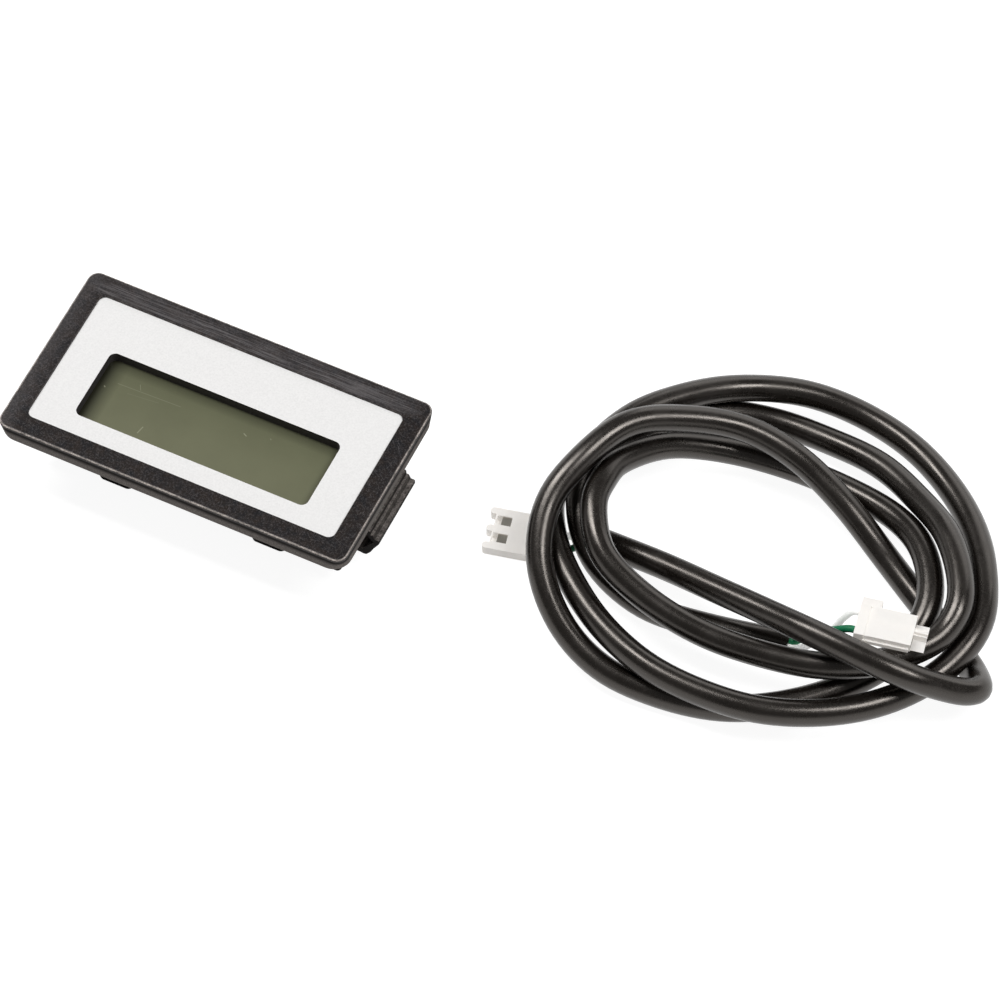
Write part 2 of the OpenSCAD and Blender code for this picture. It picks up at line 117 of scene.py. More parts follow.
class Wiring:
    """A node tree that is filled by short calls.

    Args:
        tree: the node tree to fill.
    """

    def __init__(self, tree: bpy.types.NodeTree) -> None:
        """Takes the node tree to fill."""
        self.tree = tree

    def add(self, kind: str, inputs: dict | None = None, **settings: object) -> bpy.types.Node:
        """Adds one node.

        Args:
            kind: the node's type name.
            inputs: values or sockets for its inputs, by name or number.
            settings: values for the node's own properties.

        Returns:
            The new node.
        """
        node = self.tree.nodes.new(kind)
        for key, value in settings.items():
            setattr(node, key, value)
        for key, value in (inputs or {}).items():
            if isinstance(value, Socket):
                self.tree.links.new(value, node.inputs[key])
            else:
                node.inputs[key].default_value = value
        return node

    def math(self, operation: str, first: Input, second: Input = 0.0, clamp: bool = False) -> Socket:
        """Adds a maths node.

        Args:
            operation: the operation's name.
            first: the first value or socket.
            second: the second value or socket.
            clamp: whether the result is kept between 0 and 1.

        Returns:
            The result's socket.
        """
        node = self.add("ShaderNodeMath", {0: first, 1: second}, operation=operation, use_clamp=clamp)
        return node.outputs[0]

    def product(self, first: Input, *others: Input) -> Socket:
        """Multiplies values together.

        Args:
            first: the first value or socket.
            others: the other values or sockets.

        Returns:
            The product's socket.
        """
        for other in others:
            first = self.math("MULTIPLY", first, other)
        return first

    def vector(self, operation: str, first: Input, second: Input) -> bpy.types.bpy_prop_collection:
        """Adds a vector maths node and gives its outputs, a vector and a value."""
        return self.add("ShaderNodeVectorMath", {0: first, 1: second}, operation=operation).outputs

    def scaled(self, vector: Input, scale: Input) -> Socket:
        """Scales a vector by a number."""
        return self.add("ShaderNodeVectorMath", {0: vector, "Scale": scale}, operation="SCALE").outputs[0]

    def noise(self, place: Socket, scale: Input, detail: float, roughness: float = 0.5) -> bpy.types.Node:
        """Adds a noise texture.

        Args:
            place: the coordinates.
            scale: the number of its features in a metre.
            detail: the number of finer layers.
            roughness: how strong the finer layers are, 0 to 1.

        Returns:
            The texture's node.
        """
        inputs = {"Vector": place, "Scale": scale, "Detail": detail, "Roughness": roughness}
        return self.add("ShaderNodeTexNoise", inputs)

    def blend(self, amount: Input, first: Input, second: Input) -> Socket:
        """Mixes two colours.

        Args:
            amount: how much of the second colour, 0 to 1.
            first: a colour or socket.
            second: a colour or socket.

        Returns:
            The mixed colour's socket.
        """
        node = self.add("ShaderNodeMix", data_type="RGBA")
        for socket, value in zip((node.inputs[0], node.inputs[6], node.inputs[7]), (amount, first, second)):
            if isinstance(value, Socket):
                self.tree.links.new(value, socket)
            elif isinstance(value, tuple):
                socket.default_value = (*value, 1)
            else:
                socket.default_value = value
        return node.outputs[2]

    def ramp(self, value: Input, low: float, high: float, start: float = 0.0, end: float = 1.0) -> Socket:
        """Maps a value from one range to another, held at both ends.

        Args:
            value: the value's socket.
            low: the value that gives start.
            high: the value that gives end.
            start: the result at low.
            end: the result at high.

        Returns:
            The result's socket.
        """
        inputs = {"Value": value, "From Min": low, "From Max": high, "To Min": start, "To Max": end}
        return self.add("ShaderNodeMapRange", inputs).outputs[0]

    def shown(self) -> Socket:
        """Gives 1 for rays that show a surface, straight, in a reflection or through glass.

        Returns:
            The result's socket.
        """
        rays = self.add("ShaderNodeLightPath").outputs
        mirrored = self.math("MAXIMUM", rays["Is Glossy Ray"], rays["Is Transmission Ray"])
        return self.math("MAXIMUM", rays["Is Camera Ray"], mirrored)


class Group(Wiring):
    """The wiring of a shader node group that works on Object coordinates and gives one value.

    Args:
        name: the group's name.
        output: the name of its output.
        inputs: each number or vector input and its default value.
    """

    def __init__(self, name: str, output: str, **inputs: float | Point) -> None:
        """Starts the group with its inputs and its output."""
        super().__init__(bpy.data.node_groups.new(name, "ShaderNodeTree"))
        face = self.tree.interface
        face.new_socket("Vector", in_out="INPUT", socket_type="NodeSocketVector")
        for key, value in inputs.items():
            kind = "NodeSocketVector" if isinstance(value, tuple) else "NodeSocketFloat"
            face.new_socket(key, in_out="INPUT", socket_type=kind).default_value = value
        face.new_socket(output, in_out="OUTPUT", socket_type="NodeSocketFloat")
        self.given = {socket.name: socket for socket in self.add("NodeGroupInput").outputs}
        self.leave = self.add("NodeGroupOutput")

    def done(self, result: Socket) -> bpy.types.NodeTree:
        """Wires the result to the output and gives the node group."""
        self.tree.links.new(result, self.leave.inputs[0])
        return self.tree


class Effects:
    """The surface effects that several finishes share, each a node group."""

    def __init__(self) -> None:
        """Builds each effect once."""
        self.grain = self._grain()
        self.scuffs = self._scuffs()
        self.clouds = self._clouds()
        self.stroke = self._stroke()

    def _grain(self) -> bpy.types.NodeTree:
        """Builds the fine moulded grain, from the pitch of its dimples in metres.

        Returns:
            The node group.
        """
        group = Group("moulded_grain", "Height", Pitch=0.15 * MM)
        place = group.given["Vector"]
        scale = group.math("DIVIDE", 1.0, group.given["Pitch"])
        fine = group.noise(place, scale, 2.0)
        cells = group.add("ShaderNodeTexVoronoi", {"Vector": place, "Scale": scale}, feature="SMOOTH_F1")
        return group.done(group.math("ADD", fine.outputs[0], group.product(cells.outputs[0], 0.4)))

    def _scuffs(self) -> bpy.types.NodeTree:
        """Builds a mask of sparse thin scratches that run roughly along X.

        Returns:
            The node group.
        """
        group = Group("scuff_marks", "Mask", Length=6 * MM, Width=0.12 * MM, Amount=0.3, Bend=4 * MM)
        given = group.given
        wave = group.noise(given["Vector"], 90.0, 1.0)
        bent = group.vector("ADD", given["Vector"], group.scaled(wave.outputs["Color"], given["Bend"]))[0]
        along = group.math("DIVIDE", 1.0, given["Length"])
        across = group.math("DIVIDE", 1.0, given["Width"])
        spread = group.add("ShaderNodeCombineXYZ", {0: along, 1: across, 2: across})
        lines = group.noise(group.vector("MULTIPLY", bent, spread.outputs[0])[0], 1.0, 2.0)
        level = group.ramp(given["Amount"], 0.0, 1.0, 0.78, 0.48)
        over = group.math("SUBTRACT", lines.outputs[0], level)
        return group.done(group.math("MULTIPLY", over, 9.0, clamp=True))

    def _clouds(self) -> bpy.types.NodeTree:
        """Builds a slow change of tone over the surface, between 0 and 1.

        Returns:
            The node group.
        """
        group = Group("slow_clouds", "Tone", Pitch=8 * MM)
        scale = group.math("DIVIDE", 1.0, group.given["Pitch"])
        noise = group.noise(group.given["Vector"], scale, 4.0, 0.6)
        return group.done(group.ramp(noise.outputs[0], 0.3, 0.7))

    def _stroke(self) -> bpy.types.NodeTree:
        """Builds a mask of one straight mark between two points in plan.

        Returns:
            The node group.
        """
        group = Group("single_stroke", "Mask", From=(0.0, 0.0, 0.0), To=(0.001, 0.0, 0.0), Width=0.15 * MM)
        given = group.given
        flat = group.vector("MULTIPLY", given["Vector"], (1, 1, 0))[0]
        away = group.vector("SUBTRACT", flat, given["From"])[0]
        along = group.vector("SUBTRACT", given["To"], given["From"])[0]
        length = group.vector("DOT_PRODUCT", along, along)["Value"]
        reach = group.vector("DOT_PRODUCT", away, along)["Value"]
        share = group.math("DIVIDE", reach, length, clamp=True)
        gap = group.vector("DISTANCE", away, group.scaled(along, share))["Value"]
        half = group.product(given["Width"], 0.5)
        return group.done(group.math("SUBTRACT", 1.0, group.math("DIVIDE", gap, half), clamp=True))


class Surface:
    """A material with a Principled shader, and the effects placed in it.

    Args:
        name: the material's name.
        effects: the shared effects.
    """

    def __init__(self, name: str, effects: Effects) -> None:
        """Starts a new material."""
        self.material = bpy.data.materials.new(name)
        self.material.use_nodes = True
        self.effects = effects
        self.wiring = Wiring(self.material.node_tree)
        self.shader = self.material.node_tree.nodes["Principled BSDF"]
        self.place = self.wiring.add("ShaderNodeTexCoord").outputs["Object"]

    def set(self, **values: Input) -> None:
        """Sets the shader's sockets.

        Args:
            values: values or sockets by the sockets' names, with _ for each space.
        """
        for key, value in values.items():
            socket = self.shader.inputs[key.replace("_", " ")]
            if isinstance(value, Socket):
                self.wiring.tree.links.new(value, socket)
            elif isinstance(value, tuple):
                socket.default_value = (*value, 1)
            else:
                socket.default_value = value

    def axes(self) -> bpy.types.bpy_prop_collection:
        """Gives the Object coordinates X, Y and Z apart."""
        return self.wiring.add("ShaderNodeSeparateXYZ", {0: self.place}).outputs

    def turned(self, angle: float) -> Socket:
        """Turns the Object coordinates about Z by an angle in degrees."""
        rotation = (0, 0, math.radians(angle))
        return self.wiring.add("ShaderNodeMapping", {"Vector": self.place, "Rotation": rotation}).outputs[0]

    def mask(self, group: bpy.types.NodeTree, place: Socket | None = None, **values: float | Point) -> Socket:
        """Places one shared effect.

        Args:
            group: the effect's node group.
            place: the coordinates, or None for the Object coordinates.
            values: the group's own inputs, by name.

        Returns:
            The effect's value socket.
        """
        node = self.wiring.add("ShaderNodeGroup", node_tree=group)
        self.wiring.tree.links.new(place or self.place, node.inputs["Vector"])
        for key, value in values.items():
            node.inputs[key].default_value = value
        return node.outputs[0]

    def clouds(self, pitch: float) -> Socket:
        """Places slow clouds of tone of a pitch in metres."""
        return self.mask(self.effects.clouds, Pitch=pitch)

    def grain(self, pitch: float) -> Socket:
        """Places the moulded grain with a pitch in metres."""
        return self.mask(self.effects.grain, Pitch=pitch)

    def scuffs(self, angle: float = 0.0, **values: float) -> Socket:
        """Places thin scratches at an angle in degrees, with the group's own inputs by name."""
        return self.mask(self.effects.scuffs, self.turned(angle), **values)

    def wear_and_painted_light(self) -> Socket:
        """Gives the piece's own mask of rubbed edges and painted highlights, 0 where it has none."""
        return self.wiring.add("ShaderNodeAttribute", attribute_name="wear_and_painted_light").outputs["Fac"]

    def bump(self, height: Socket, strength: float, depth: float) -> None:
        """Gives the shader a bumped normal.

        Args:
            height: the height's socket.
            strength: how strongly the bumps show, 0 to 1.
            depth: the height of the bumps in metres.
        """
        node = self.wiring.add("ShaderNodeBump", {"Height": height, "Strength": strength, "Distance": depth})
        self.set(Normal=node.outputs[0])


class Recipe(ABC):
    """What a finish is made of."""

    def build(self, name: str, effects: Effects) -> bpy.types.Material:
        """Builds the finish as a material.

        Args:
            name: the material's name.
            effects: the shared effects.

        Returns:
            The new material.
        """
        surface = Surface(name, effects)
        self.dress(surface)
        return surface.material

    @abstractmethod
    def dress(self, surface: Surface) -> None:
        """Fills a new material's surface."""


@dataclass(frozen=True)
class Moulding(Recipe):
    """A moulded plastic with a fine grain, slow clouds of tone, faint scuffs and, where glow is set, a
    painted glow.

    Attributes:
        colour: the plastic's own colour.
        wear_and_painted_light: the colour of scuffs and rubbed edges, and the tint of the painted glow.
        roughness: the roughness of clean plastic.
        gloss: the shader's specular level.
        pitch: the pitch of the grain in metres.
        relief: how strongly the grain shows, 0 to 1.
        scuffs: how much of the surface is scuffed, 0 to 1.
        glow: how far light goes into the plastic, 0 to 1, which also scales the painted glow.
        painted_glow_strength: how strongly the painted glow, an emission, shows.
    """

    colour: Colour
    wear_and_painted_light: Colour
    roughness: float = 0.45
    gloss: float = 0.35
    pitch: float = 0.16 * MM
    relief: float = 0.25
    scuffs: float = 0.3
    glow: float = 0.0
    painted_glow_strength: float = 0.62

    def dress(self, surface: Surface) -> None:
        """Fills a new material's surface.

        Args:
            surface: the surface to fill.
        """
        wiring = surface.wiring
        clouds = surface.clouds(6 * MM)
        crossed = surface.scuffs(68, Amount=self.scuffs * 0.7)
        marks = wiring.math("MAXIMUM", surface.scuffs(Amount=self.scuffs), crossed)
        marks = wiring.product(marks, wiring.ramp(clouds, 0, 1, 0.25, 1))
        rubbed = wiring.math("MAXIMUM", marks, wiring.product(surface.wear_and_painted_light(), 0.5))
        base = wiring.blend(clouds, shaded(self.colour, 0.86), self.colour)
        surface.set(Base_Color=wiring.blend(rubbed, base, self.wear_and_painted_light))
        surface.set(Roughness=wiring.ramp(clouds, 0, 1, self.roughness + 0.05, self.roughness - 0.05))
        surface.set(Specular_IOR_Level=self.gloss)
        surface.bump(surface.grain(self.pitch), self.relief, 0.02 * MM)
        if self.glow:
            surface.set(Subsurface_Weight=self.glow, Subsurface_Scale=0.4 * MM)
            surface.shader.inputs["Subsurface Radius"].default_value = (1, 0.95, 0.9)
            # Painted glow: an emission that lightens the plastic, tinted by its rubbed-edge colour
            surface.set(Emission_Color=self.wear_and_painted_light, Emission_Strength=self.painted_glow_strength * self.glow)


@dataclass(frozen=True)
class CaseMoulding(Recipe):
    """The case's black plastic: mottled, scuffed and brushed, with painted light and shade: a painted
    highlight on the face's rolled edge and the clips' upper faces, a painted sheen on the far strip, painted
    shade and a lighter painted band on the flange's sides, and painted light on the window's walls.

    Attributes:
        cool: the darker of the two mottled colours.
        warm: the browner of the two mottled colours.
        scuff_and_painted_light: the colour of fine scuffs, of the painted sheen on the far strip and of the
            painted light on the window's walls.
        wear_and_painted_light: the colour of rubbed edges and of the painted highlight on the face's rolled
            edge; darkened, of the painted band low on the sides.
        strip: where the bezel's far strip starts, along Y.
    """

    cool: Colour
    warm: Colour
    scuff_and_painted_light: Colour
    wear_and_painted_light: Colour
    strip: float = 9.6 * MM

    def fine(self, surface: Surface) -> Socket:
        """Gives a mask of short fine scuffs in two directions, thicker in some places.

        Args:
            surface: the material's surface.

        Returns:
            The mask's socket.
        """
        sizes = {"Length": 1.3 * MM, "Width": 0.09 * MM, "Amount": 0.55}
        wiring = surface.wiring
        both = wiring.math("MAXIMUM", surface.scuffs(35, **sizes), surface.scuffs(110, **sizes))
        return wiring.product(both, wiring.ramp(surface.clouds(5 * MM), 0.1, 0.9, 0.05, 0.5))

    def brushing_and_sheen(self, surface: Surface) -> Socket:
        """Gives a mask of the brushing along the far strip, real streaks painted lighter as a painted sheen,
        weaker toward its ends and its outer edge.

        Args:
            surface: the material's surface.

        Returns:
            The mask's socket.
        """
        wiring = surface.wiring
        x, y, _ = surface.axes()
        coarse = surface.scuffs(Length=9 * MM, Width=0.2 * MM, Amount=1.0, Bend=0.4 * MM)
        thin = surface.scuffs(Length=3 * MM, Width=0.09 * MM, Amount=0.8, Bend=0.4 * MM)
        lines = wiring.math("ADD", wiring.math("ADD", coarse, thin), 0.35)
        end = BEZEL[0] / 2
        ends = wiring.ramp(wiring.math("ABSOLUTE", x), end - 0.6 * MM, end - 3.2 * MM)
        start = wiring.ramp(y, self.strip, self.strip + 0.35 * MM)
        inward = wiring.ramp(y, self.strip + 2.6 * MM, self.strip + 1.4 * MM, 0.14, 0.56)
        return wiring.product(lines, ends, start, inward, 0.7)

    def outside(self, surface: Surface) -> Socket:
        """Gives 0 within the window's walls and 1 outside them.

        Args:
            surface: the material's surface.

        Returns:
            The mask's socket.
        """
        wiring = surface.wiring
        x, y, _ = surface.axes()
        reaches = (WINDOW[0] / 2, WINDOW[1] / 2 - WINDOW_ACROSS)
        past = [
            wiring.ramp(wiring.math("ABSOLUTE", axis), reach + 0.15 * MM, reach + 0.35 * MM)
            for axis, reach in zip((x, y), reaches)
        ]
        return wiring.math("MAXIMUM", *past)

    def dress(self, surface: Surface) -> None:
        """Fills a new material's surface.

        Args:
            surface: the surface to fill.
        """
        wiring = surface.wiring
        x, _, z = surface.axes()
        mottle = surface.clouds(1.1 * MM)
        specks = surface.clouds(0.16 * MM)
        top = wiring.ramp(z, BEZEL_FACE - 0.12 * MM, BEZEL_FACE - 0.04 * MM)
        # Masks for painted shade and light: the flange's sides below the face, and the window's walls
        under = wiring.ramp(z, BEZEL_FACE - 0.25 * MM, BEZEL_FACE - 0.45 * MM)
        side = wiring.product(under, self.outside(surface))
        walls = wiring.math("SUBTRACT", under, side)
        left = wiring.ramp(x, 2.8 * MM - BEZEL[0] / 2, 0.4 * MM - BEZEL[0] / 2, 0, 0.36)
        # A band low on the flange's sides that carries a painted light, as from the floor
        band = wiring.product(
            wiring.ramp(z, BEZEL_FACE - 0.7 * MM, BEZEL_FACE - 1.3 * MM),
            wiring.ramp(z, BEZEL_FACE - 3.0 * MM, BEZEL_FACE - 2.5 * MM),
        )
        base = wiring.blend(mottle, self.cool, self.warm)
        for amount, colour in (
            (wiring.ramp(specks, 0.5, 1.0, 0, 0.35), self.scuff_and_painted_light),
            (wiring.product(self.fine(surface), top), self.scuff_and_painted_light),
            # Brushed streaks on the far strip painted lighter: real streaks and a painted sheen
            (wiring.product(self.brushing_and_sheen(surface), top), self.scuff_and_painted_light),
            # Painted light: the window's inner walls lightened
            (wiring.product(walls, 0.3), self.scuff_and_painted_light),
            # Painted shade: the flange's sides darkened
            (side, shaded(self.warm, 0.3)),
            # Painted light: a lighter band low on the flange's sides
            (wiring.product(side, band, wiring.ramp(specks, 0, 0.8, 0.35, 1)), shaded(self.wear_and_painted_light, 0.35)),
            # Lighter toward the left end of the face
            (wiring.product(left, top, wiring.ramp(specks, 0, 1, 0.4, 1)), self.scuff_and_painted_light),
        ):
            base = wiring.blend(amount, base, colour)
        patchy = (wiring.ramp(mottle, 0.1, 0.8, 0.4, 1), wiring.ramp(specks, 0.1, 0.7, 0.3, 1))
        # Painted highlight along the face's rolled edge and on the clips' upper faces, broken up, with the
        # rubbed edges
        rub_and_glint = wiring.product(surface.wear_and_painted_light(), *patchy)
        surface.set(Base_Color=wiring.blend(rub_and_glint, base, self.wear_and_painted_light), Specular_IOR_Level=0.2)
        rough = wiring.math("ADD", wiring.ramp(specks, 0, 1, 0.3, 0.42), wiring.product(side, 0.5))
        surface.set(Roughness=wiring.math("SUBTRACT", rough, wiring.product(surface.wear_and_painted_light(), 0.1)))
        surface.bump(surface.grain(0.17 * MM), 0.35, 0.02 * MM)


@dataclass(frozen=True)
class CoatedSheet(Recipe):
    """A printed sheet: a satin coat with a very fine sparkle, dark where it is cut.

    Attributes:
        colour: the coat's colour.
        cut: the colour of the sheet's cut edge.
        face: the height of the sheet's face, or None where no cut edge shows.
        roughness: the coat's roughness.
        speckle: how much darker the darkest specks are, 0 to 1.
    """

    colour: Colour
    cut: Colour = (0.012, 0.010, 0.009)
    face: float | None = None
    roughness: float = 0.42
    speckle: float = 0.09

    def dress(self, surface: Surface) -> None:
        """Fills a new material's surface.

        Args:
            surface: the surface to fill.
        """
        wiring = surface.wiring
        grain = surface.grain(0.22 * MM)
        dark = shaded(self.colour, 1 - self.speckle)
        specks = wiring.blend(wiring.ramp(grain, 0.4, 0.85), dark, self.colour)
        base = wiring.blend(wiring.product(surface.clouds(9 * MM), 0.3), specks, shaded(self.colour, 0.985))
        if self.face is not None:
            side = wiring.ramp(surface.axes()[2], self.face - 0.010 * MM, self.face - 0.025 * MM)
            base = wiring.blend(side, base, self.cut)
        surface.set(Base_Color=base, Roughness=self.roughness, Specular_IOR_Level=0.25)
        surface.bump(grain, 0.2, 0.01 * MM)


@dataclass(frozen=True)
class Mark:
    """One straight mark on the display film.

    Attributes:
        start: its first end in plan, in millimetres.
        end: its other end.
        width: its width in millimetres.
        strength: how strongly it shows, 0 to 1.
    """

    start: tuple[float, float]
    end: tuple[float, float]
    width: float
    strength: float


@dataclass(frozen=True)
class DisplayFilm(Recipe):
    """The display's front film: grey-green, with painted shade toward the far edge and the window's walls,
    and a few marks.

    Attributes:
        colour: the film's colour toward the far edge.
        bright: the colour toward the near edge, where the painted shade is lightest.
        shade: the colour of the painted shadow against the walls.
        light: the colour of the marks.
        marks: the marks on it.
    """

    colour: Colour
    bright: Colour
    shade: Colour
    light: Colour
    marks: tuple[Mark, ...] = (
        Mark((-13.2, -0.1), (-4.9, 0.15), 0.14, 0.2),
        Mark((-11.5, -0.9), (-7.5, -0.5), 0.12, 0.1),
        Mark((-10.7, 0.9), (-10.3, 0.2), 0.12, 0.3),
        Mark((-7.6, -4.4), (-7.8, -5.4), 0.2, 0.45),
        Mark((-14.5, -1.1), (-14.4, -1.2), 0.22, 0.5),
        Mark((3.7, 0.0), (4.1, -0.2), 0.18, 0.55),
        Mark((6.9, 0.7), (7.0, 0.6), 0.2, 0.3),
    )

    def dress(self, surface: Surface) -> None:
        """Fills a new material's surface.

        Args:
            surface: the surface to fill.
        """
        wiring = surface.wiring
        x, y, _ = surface.axes()
        end = WINDOW[0] / 2
        near = WINDOW_ACROSS - WINDOW[1] / 2
        far = WINDOW_ACROSS + WINDOW[1] / 2
        # Painted shade: darker toward the far wall
        base = wiring.blend(wiring.ramp(y, far - 1 * MM, near), self.colour, self.bright)
        # Random clouds of tone, then the painted shadows of the left, right and far walls
        shadows = (
            wiring.product(surface.clouds(7 * MM), 0.12),
            wiring.ramp(x, 0.3 * MM - end, 2.6 * MM - end, 0.95, 0.0),
            wiring.ramp(x, end - 1.0 * MM, end, 0.0, 0.3),
            wiring.ramp(y, far - 1.6 * MM, far - 0.1 * MM, 0.0, 0.6),
        )
        for shadow in shadows:
            base = wiring.blend(shadow, base, self.shade)
        for mark in self.marks:
            start, stop = (tuple(value * MM for value in (*point, 0)) for point in (mark.start, mark.end))
            stroke = surface.mask(surface.effects.stroke, From=start, To=stop, Width=mark.width * MM)
            base = wiring.blend(wiring.product(stroke, mark.strength), base, self.light)
        surface.set(Base_Color=base, Roughness=0.3, Specular_IOR_Level=0.3)
        surface.bump(surface.grain(0.1 * MM), 0.05, 0.01 * MM)


@dataclass(frozen=True)
class Glass(Recipe):
    """Clear display glass.

    Attributes:
        tint: the colour it gives to what is seen through it.
    """

    tint: Colour

    def dress(self, surface: Surface) -> None:
        """Fills a new material's surface."""
        surface.set(Base_Color=self.tint, Roughness=0.05, IOR=1.5, Transmission_Weight=1.0)


@dataclass(frozen=True)
class PlatedMetal(Recipe):
    """A thin plated or tinned metal part, with fine drawn lines.

    Attributes:
        colour: the metal's colour.
        roughness: the metal's roughness.
    """

    colour: Colour
    roughness: float = 0.3

    def dress(self, surface: Surface) -> None:
        """Fills a new material's surface.

        Args:
            surface: the surface to fill.
        """
        wiring = surface.wiring
        lines = surface.scuffs(Length=3 * MM, Width=0.05 * MM, Amount=0.5)
        base = wiring.blend(surface.clouds(1.5 * MM), shaded(self.colour, 0.75), self.colour)
        surface.set(Base_Color=base, Metallic=1.0)
        surface.set(Roughness=wiring.ramp(lines, 0, 1, self.roughness, self.roughness + 0.2))
        surface.bump(lines, 0.15, 0.01 * MM)


@dataclass(frozen=True)
class Sheath(Recipe):
    """A flexible covering of a cable or wire, smooth with slight waves, specks and dust, and a painted glow
    where glow is set.

    Attributes:
        colour: the covering's colour.
        dust: the colour of the dust and rubs on it.
        roughness: the covering's roughness.
        gloss: the shader's specular level.
        dusty: how much of it is rubbed, 0 to 1.
        sheen: the tint of its reflections.
        glow: the strength of a painted glow, an emission that lightens it, 0 for none.
    """

    colour: Colour
    dust: Colour
    roughness: float = 0.3
    gloss: float = 0.3
    dusty: float = 0.25
    sheen: Colour = (1.0, 0.92, 0.85)
    glow: float = 0.0

    def dress(self, surface: Surface) -> None:
        """Fills a new material's surface.

        Args:
            surface: the surface to fill.
        """
        wiring = surface.wiring
        clouds = surface.clouds(4 * MM)
        specks = surface.clouds(0.3 * MM)
        dots = wiring.ramp(specks, 0.75, 1.0, 0, self.dusty)
        surface.set(Base_Color=wiring.blend(dots, self.colour, self.dust))
        rough = wiring.ramp(clouds, 0, 1, self.roughness - 0.04, self.roughness + 0.08)
        surface.set(Roughness=wiring.math("ADD", rough, wiring.ramp(specks, 0, 1, -0.03, 0.03)))
        surface.set(Specular_IOR_Level=self.gloss, Specular_Tint=self.sheen)
        # Painted glow: an emission that lightens the covering
        if self.glow:
            surface.set(Emission_Color=self.colour, Emission_Strength=self.glow)
        height = wiring.math("ADD", wiring.product(clouds, 0.25), wiring.product(specks, 0.014))
        surface.bump(height, 0.3, 0.05 * MM)


@dataclass(frozen=True)
class Laminate(Recipe):
    """The circuit board's green mask, with tracks that show under it.

    Attributes:
        colour: the mask over bare board.
        track: the mask over copper.
    """

    colour: Colour
    track: Colour

    def dress(self, surface: Surface) -> None:
        """Fills a new material's surface.

        Args:
            surface: the surface to fill.
        """
        inputs = {
            "Vector": surface.turned(90), "Scale": 1.0, "Brick Width": 7 * MM, "Row Height": 0.9 * MM,
            "Mortar Size": 0.12 * MM, "Mortar Smooth": 0.1,
        }
        tracks = surface.wiring.add("ShaderNodeTexBrick", inputs).outputs["Fac"]
        surface.set(Base_Color=surface.wiring.blend(tracks, self.colour, self.track))
        surface.set(Roughness=0.3, Coat_Weight=0.3)
        surface.bump(tracks, 0.3, 0.03 * MM)


class Finish(Enum):
    """The finishes of the part, each named as the record's material slot."""

    CASE = "case_black"
    FACEPLATE = "faceplate_silver"
    FILM = "polariser"
    GLASS = "display_glass"
    REFLECTOR = "reflector"
    FRAME = "frame_white"
    RUBBER_CONTACT = "contact_rubber"
    BOARD = "board_green"
    SCREW = "screw_steel"
    CHIP = "chip_black"
    TIN = "tin"
    CAN = "can_steel"
    CERAMIC = "ceramic_tan"
    GOLD = "pad_gold"
    HEADER = "header_ivory"
    FOOT = "foot_rubber"
    JACKET = "jacket_black"
    GREEN = "wire_green"
    WHITE = "wire_white"
    PLUG = "plug_white"


RECIPES: dict[Finish, Recipe] = {
    Finish.CASE: CaseMoulding(
        cool=(0.0055, 0.0058, 0.0078), warm=(0.019, 0.0125, 0.0095),
        # The rubbed-edge colour is also the painted highlight on the face's rolled edge
        scuff_and_painted_light=(0.15, 0.14, 0.143), wear_and_painted_light=(0.58, 0.52, 0.48),
    ),
    Finish.FACEPLATE: CoatedSheet(linear(236, 235, 234), face=PLATE_FACE),
    Finish.FILM: DisplayFilm(
        colour=linear(102, 104, 80), bright=linear(111, 112, 89),
        shade=linear(38, 38, 27), light=linear(180, 180, 155),
    ),
    Finish.GLASS: Glass((0.9, 0.95, 0.92)),
    Finish.REFLECTOR: CoatedSheet(linear(150, 152, 130)),
    Finish.FRAME: Moulding(linear(228, 228, 222), linear(200, 200, 196), scuffs=0.05),
    Finish.RUBBER_CONTACT: Moulding((0.02, 0.02, 0.022), (0.05, 0.05, 0.05), roughness=0.7),
    Finish.BOARD: Laminate((0.012, 0.09, 0.035), (0.03, 0.17, 0.06)),
    Finish.SCREW: PlatedMetal((0.6, 0.6, 0.6)),
    Finish.CHIP: Moulding((0.015, 0.015, 0.015), (0.04, 0.04, 0.04), roughness=0.5),
    Finish.TIN: PlatedMetal((0.36, 0.34, 0.30), roughness=0.35),
    Finish.CAN: PlatedMetal((0.68, 0.68, 0.7), roughness=0.2),
    Finish.CERAMIC: Moulding((0.42, 0.3, 0.16), (0.5, 0.4, 0.25), scuffs=0.05),
    Finish.GOLD: PlatedMetal((0.75, 0.55, 0.22), roughness=0.25),
    # The header's glow adds a faint painted glow
    Finish.HEADER: Moulding(linear(236, 233, 222), linear(205, 202, 190), scuffs=0.08, glow=0.1),
    Finish.FOOT: Moulding((0.004, 0.0035, 0.003), (0.012, 0.011, 0.01), roughness=0.9, gloss=0.05),
    Finish.JACKET: Sheath((0.0036, 0.0025, 0.0018), (0.046, 0.038, 0.032), roughness=0.26, gloss=0.82),
    Finish.GREEN: Sheath(linear(22, 116, 78), linear(110, 160, 140), roughness=0.4, dusty=0.1),
    # The white wire's glow is a painted glow that lightens it
    Finish.WHITE: Sheath(linear(250, 250, 248), linear(225, 225, 220), roughness=0.4, dusty=0.1, glow=0.35),
    # The plugs' glow adds a painted glow that lightens them
    Finish.PLUG: Moulding(
        linear(222, 220, 217), linear(240, 234, 227), roughness=0.5, scuffs=0.03, relief=0.1, glow=0.45,
    ),
}


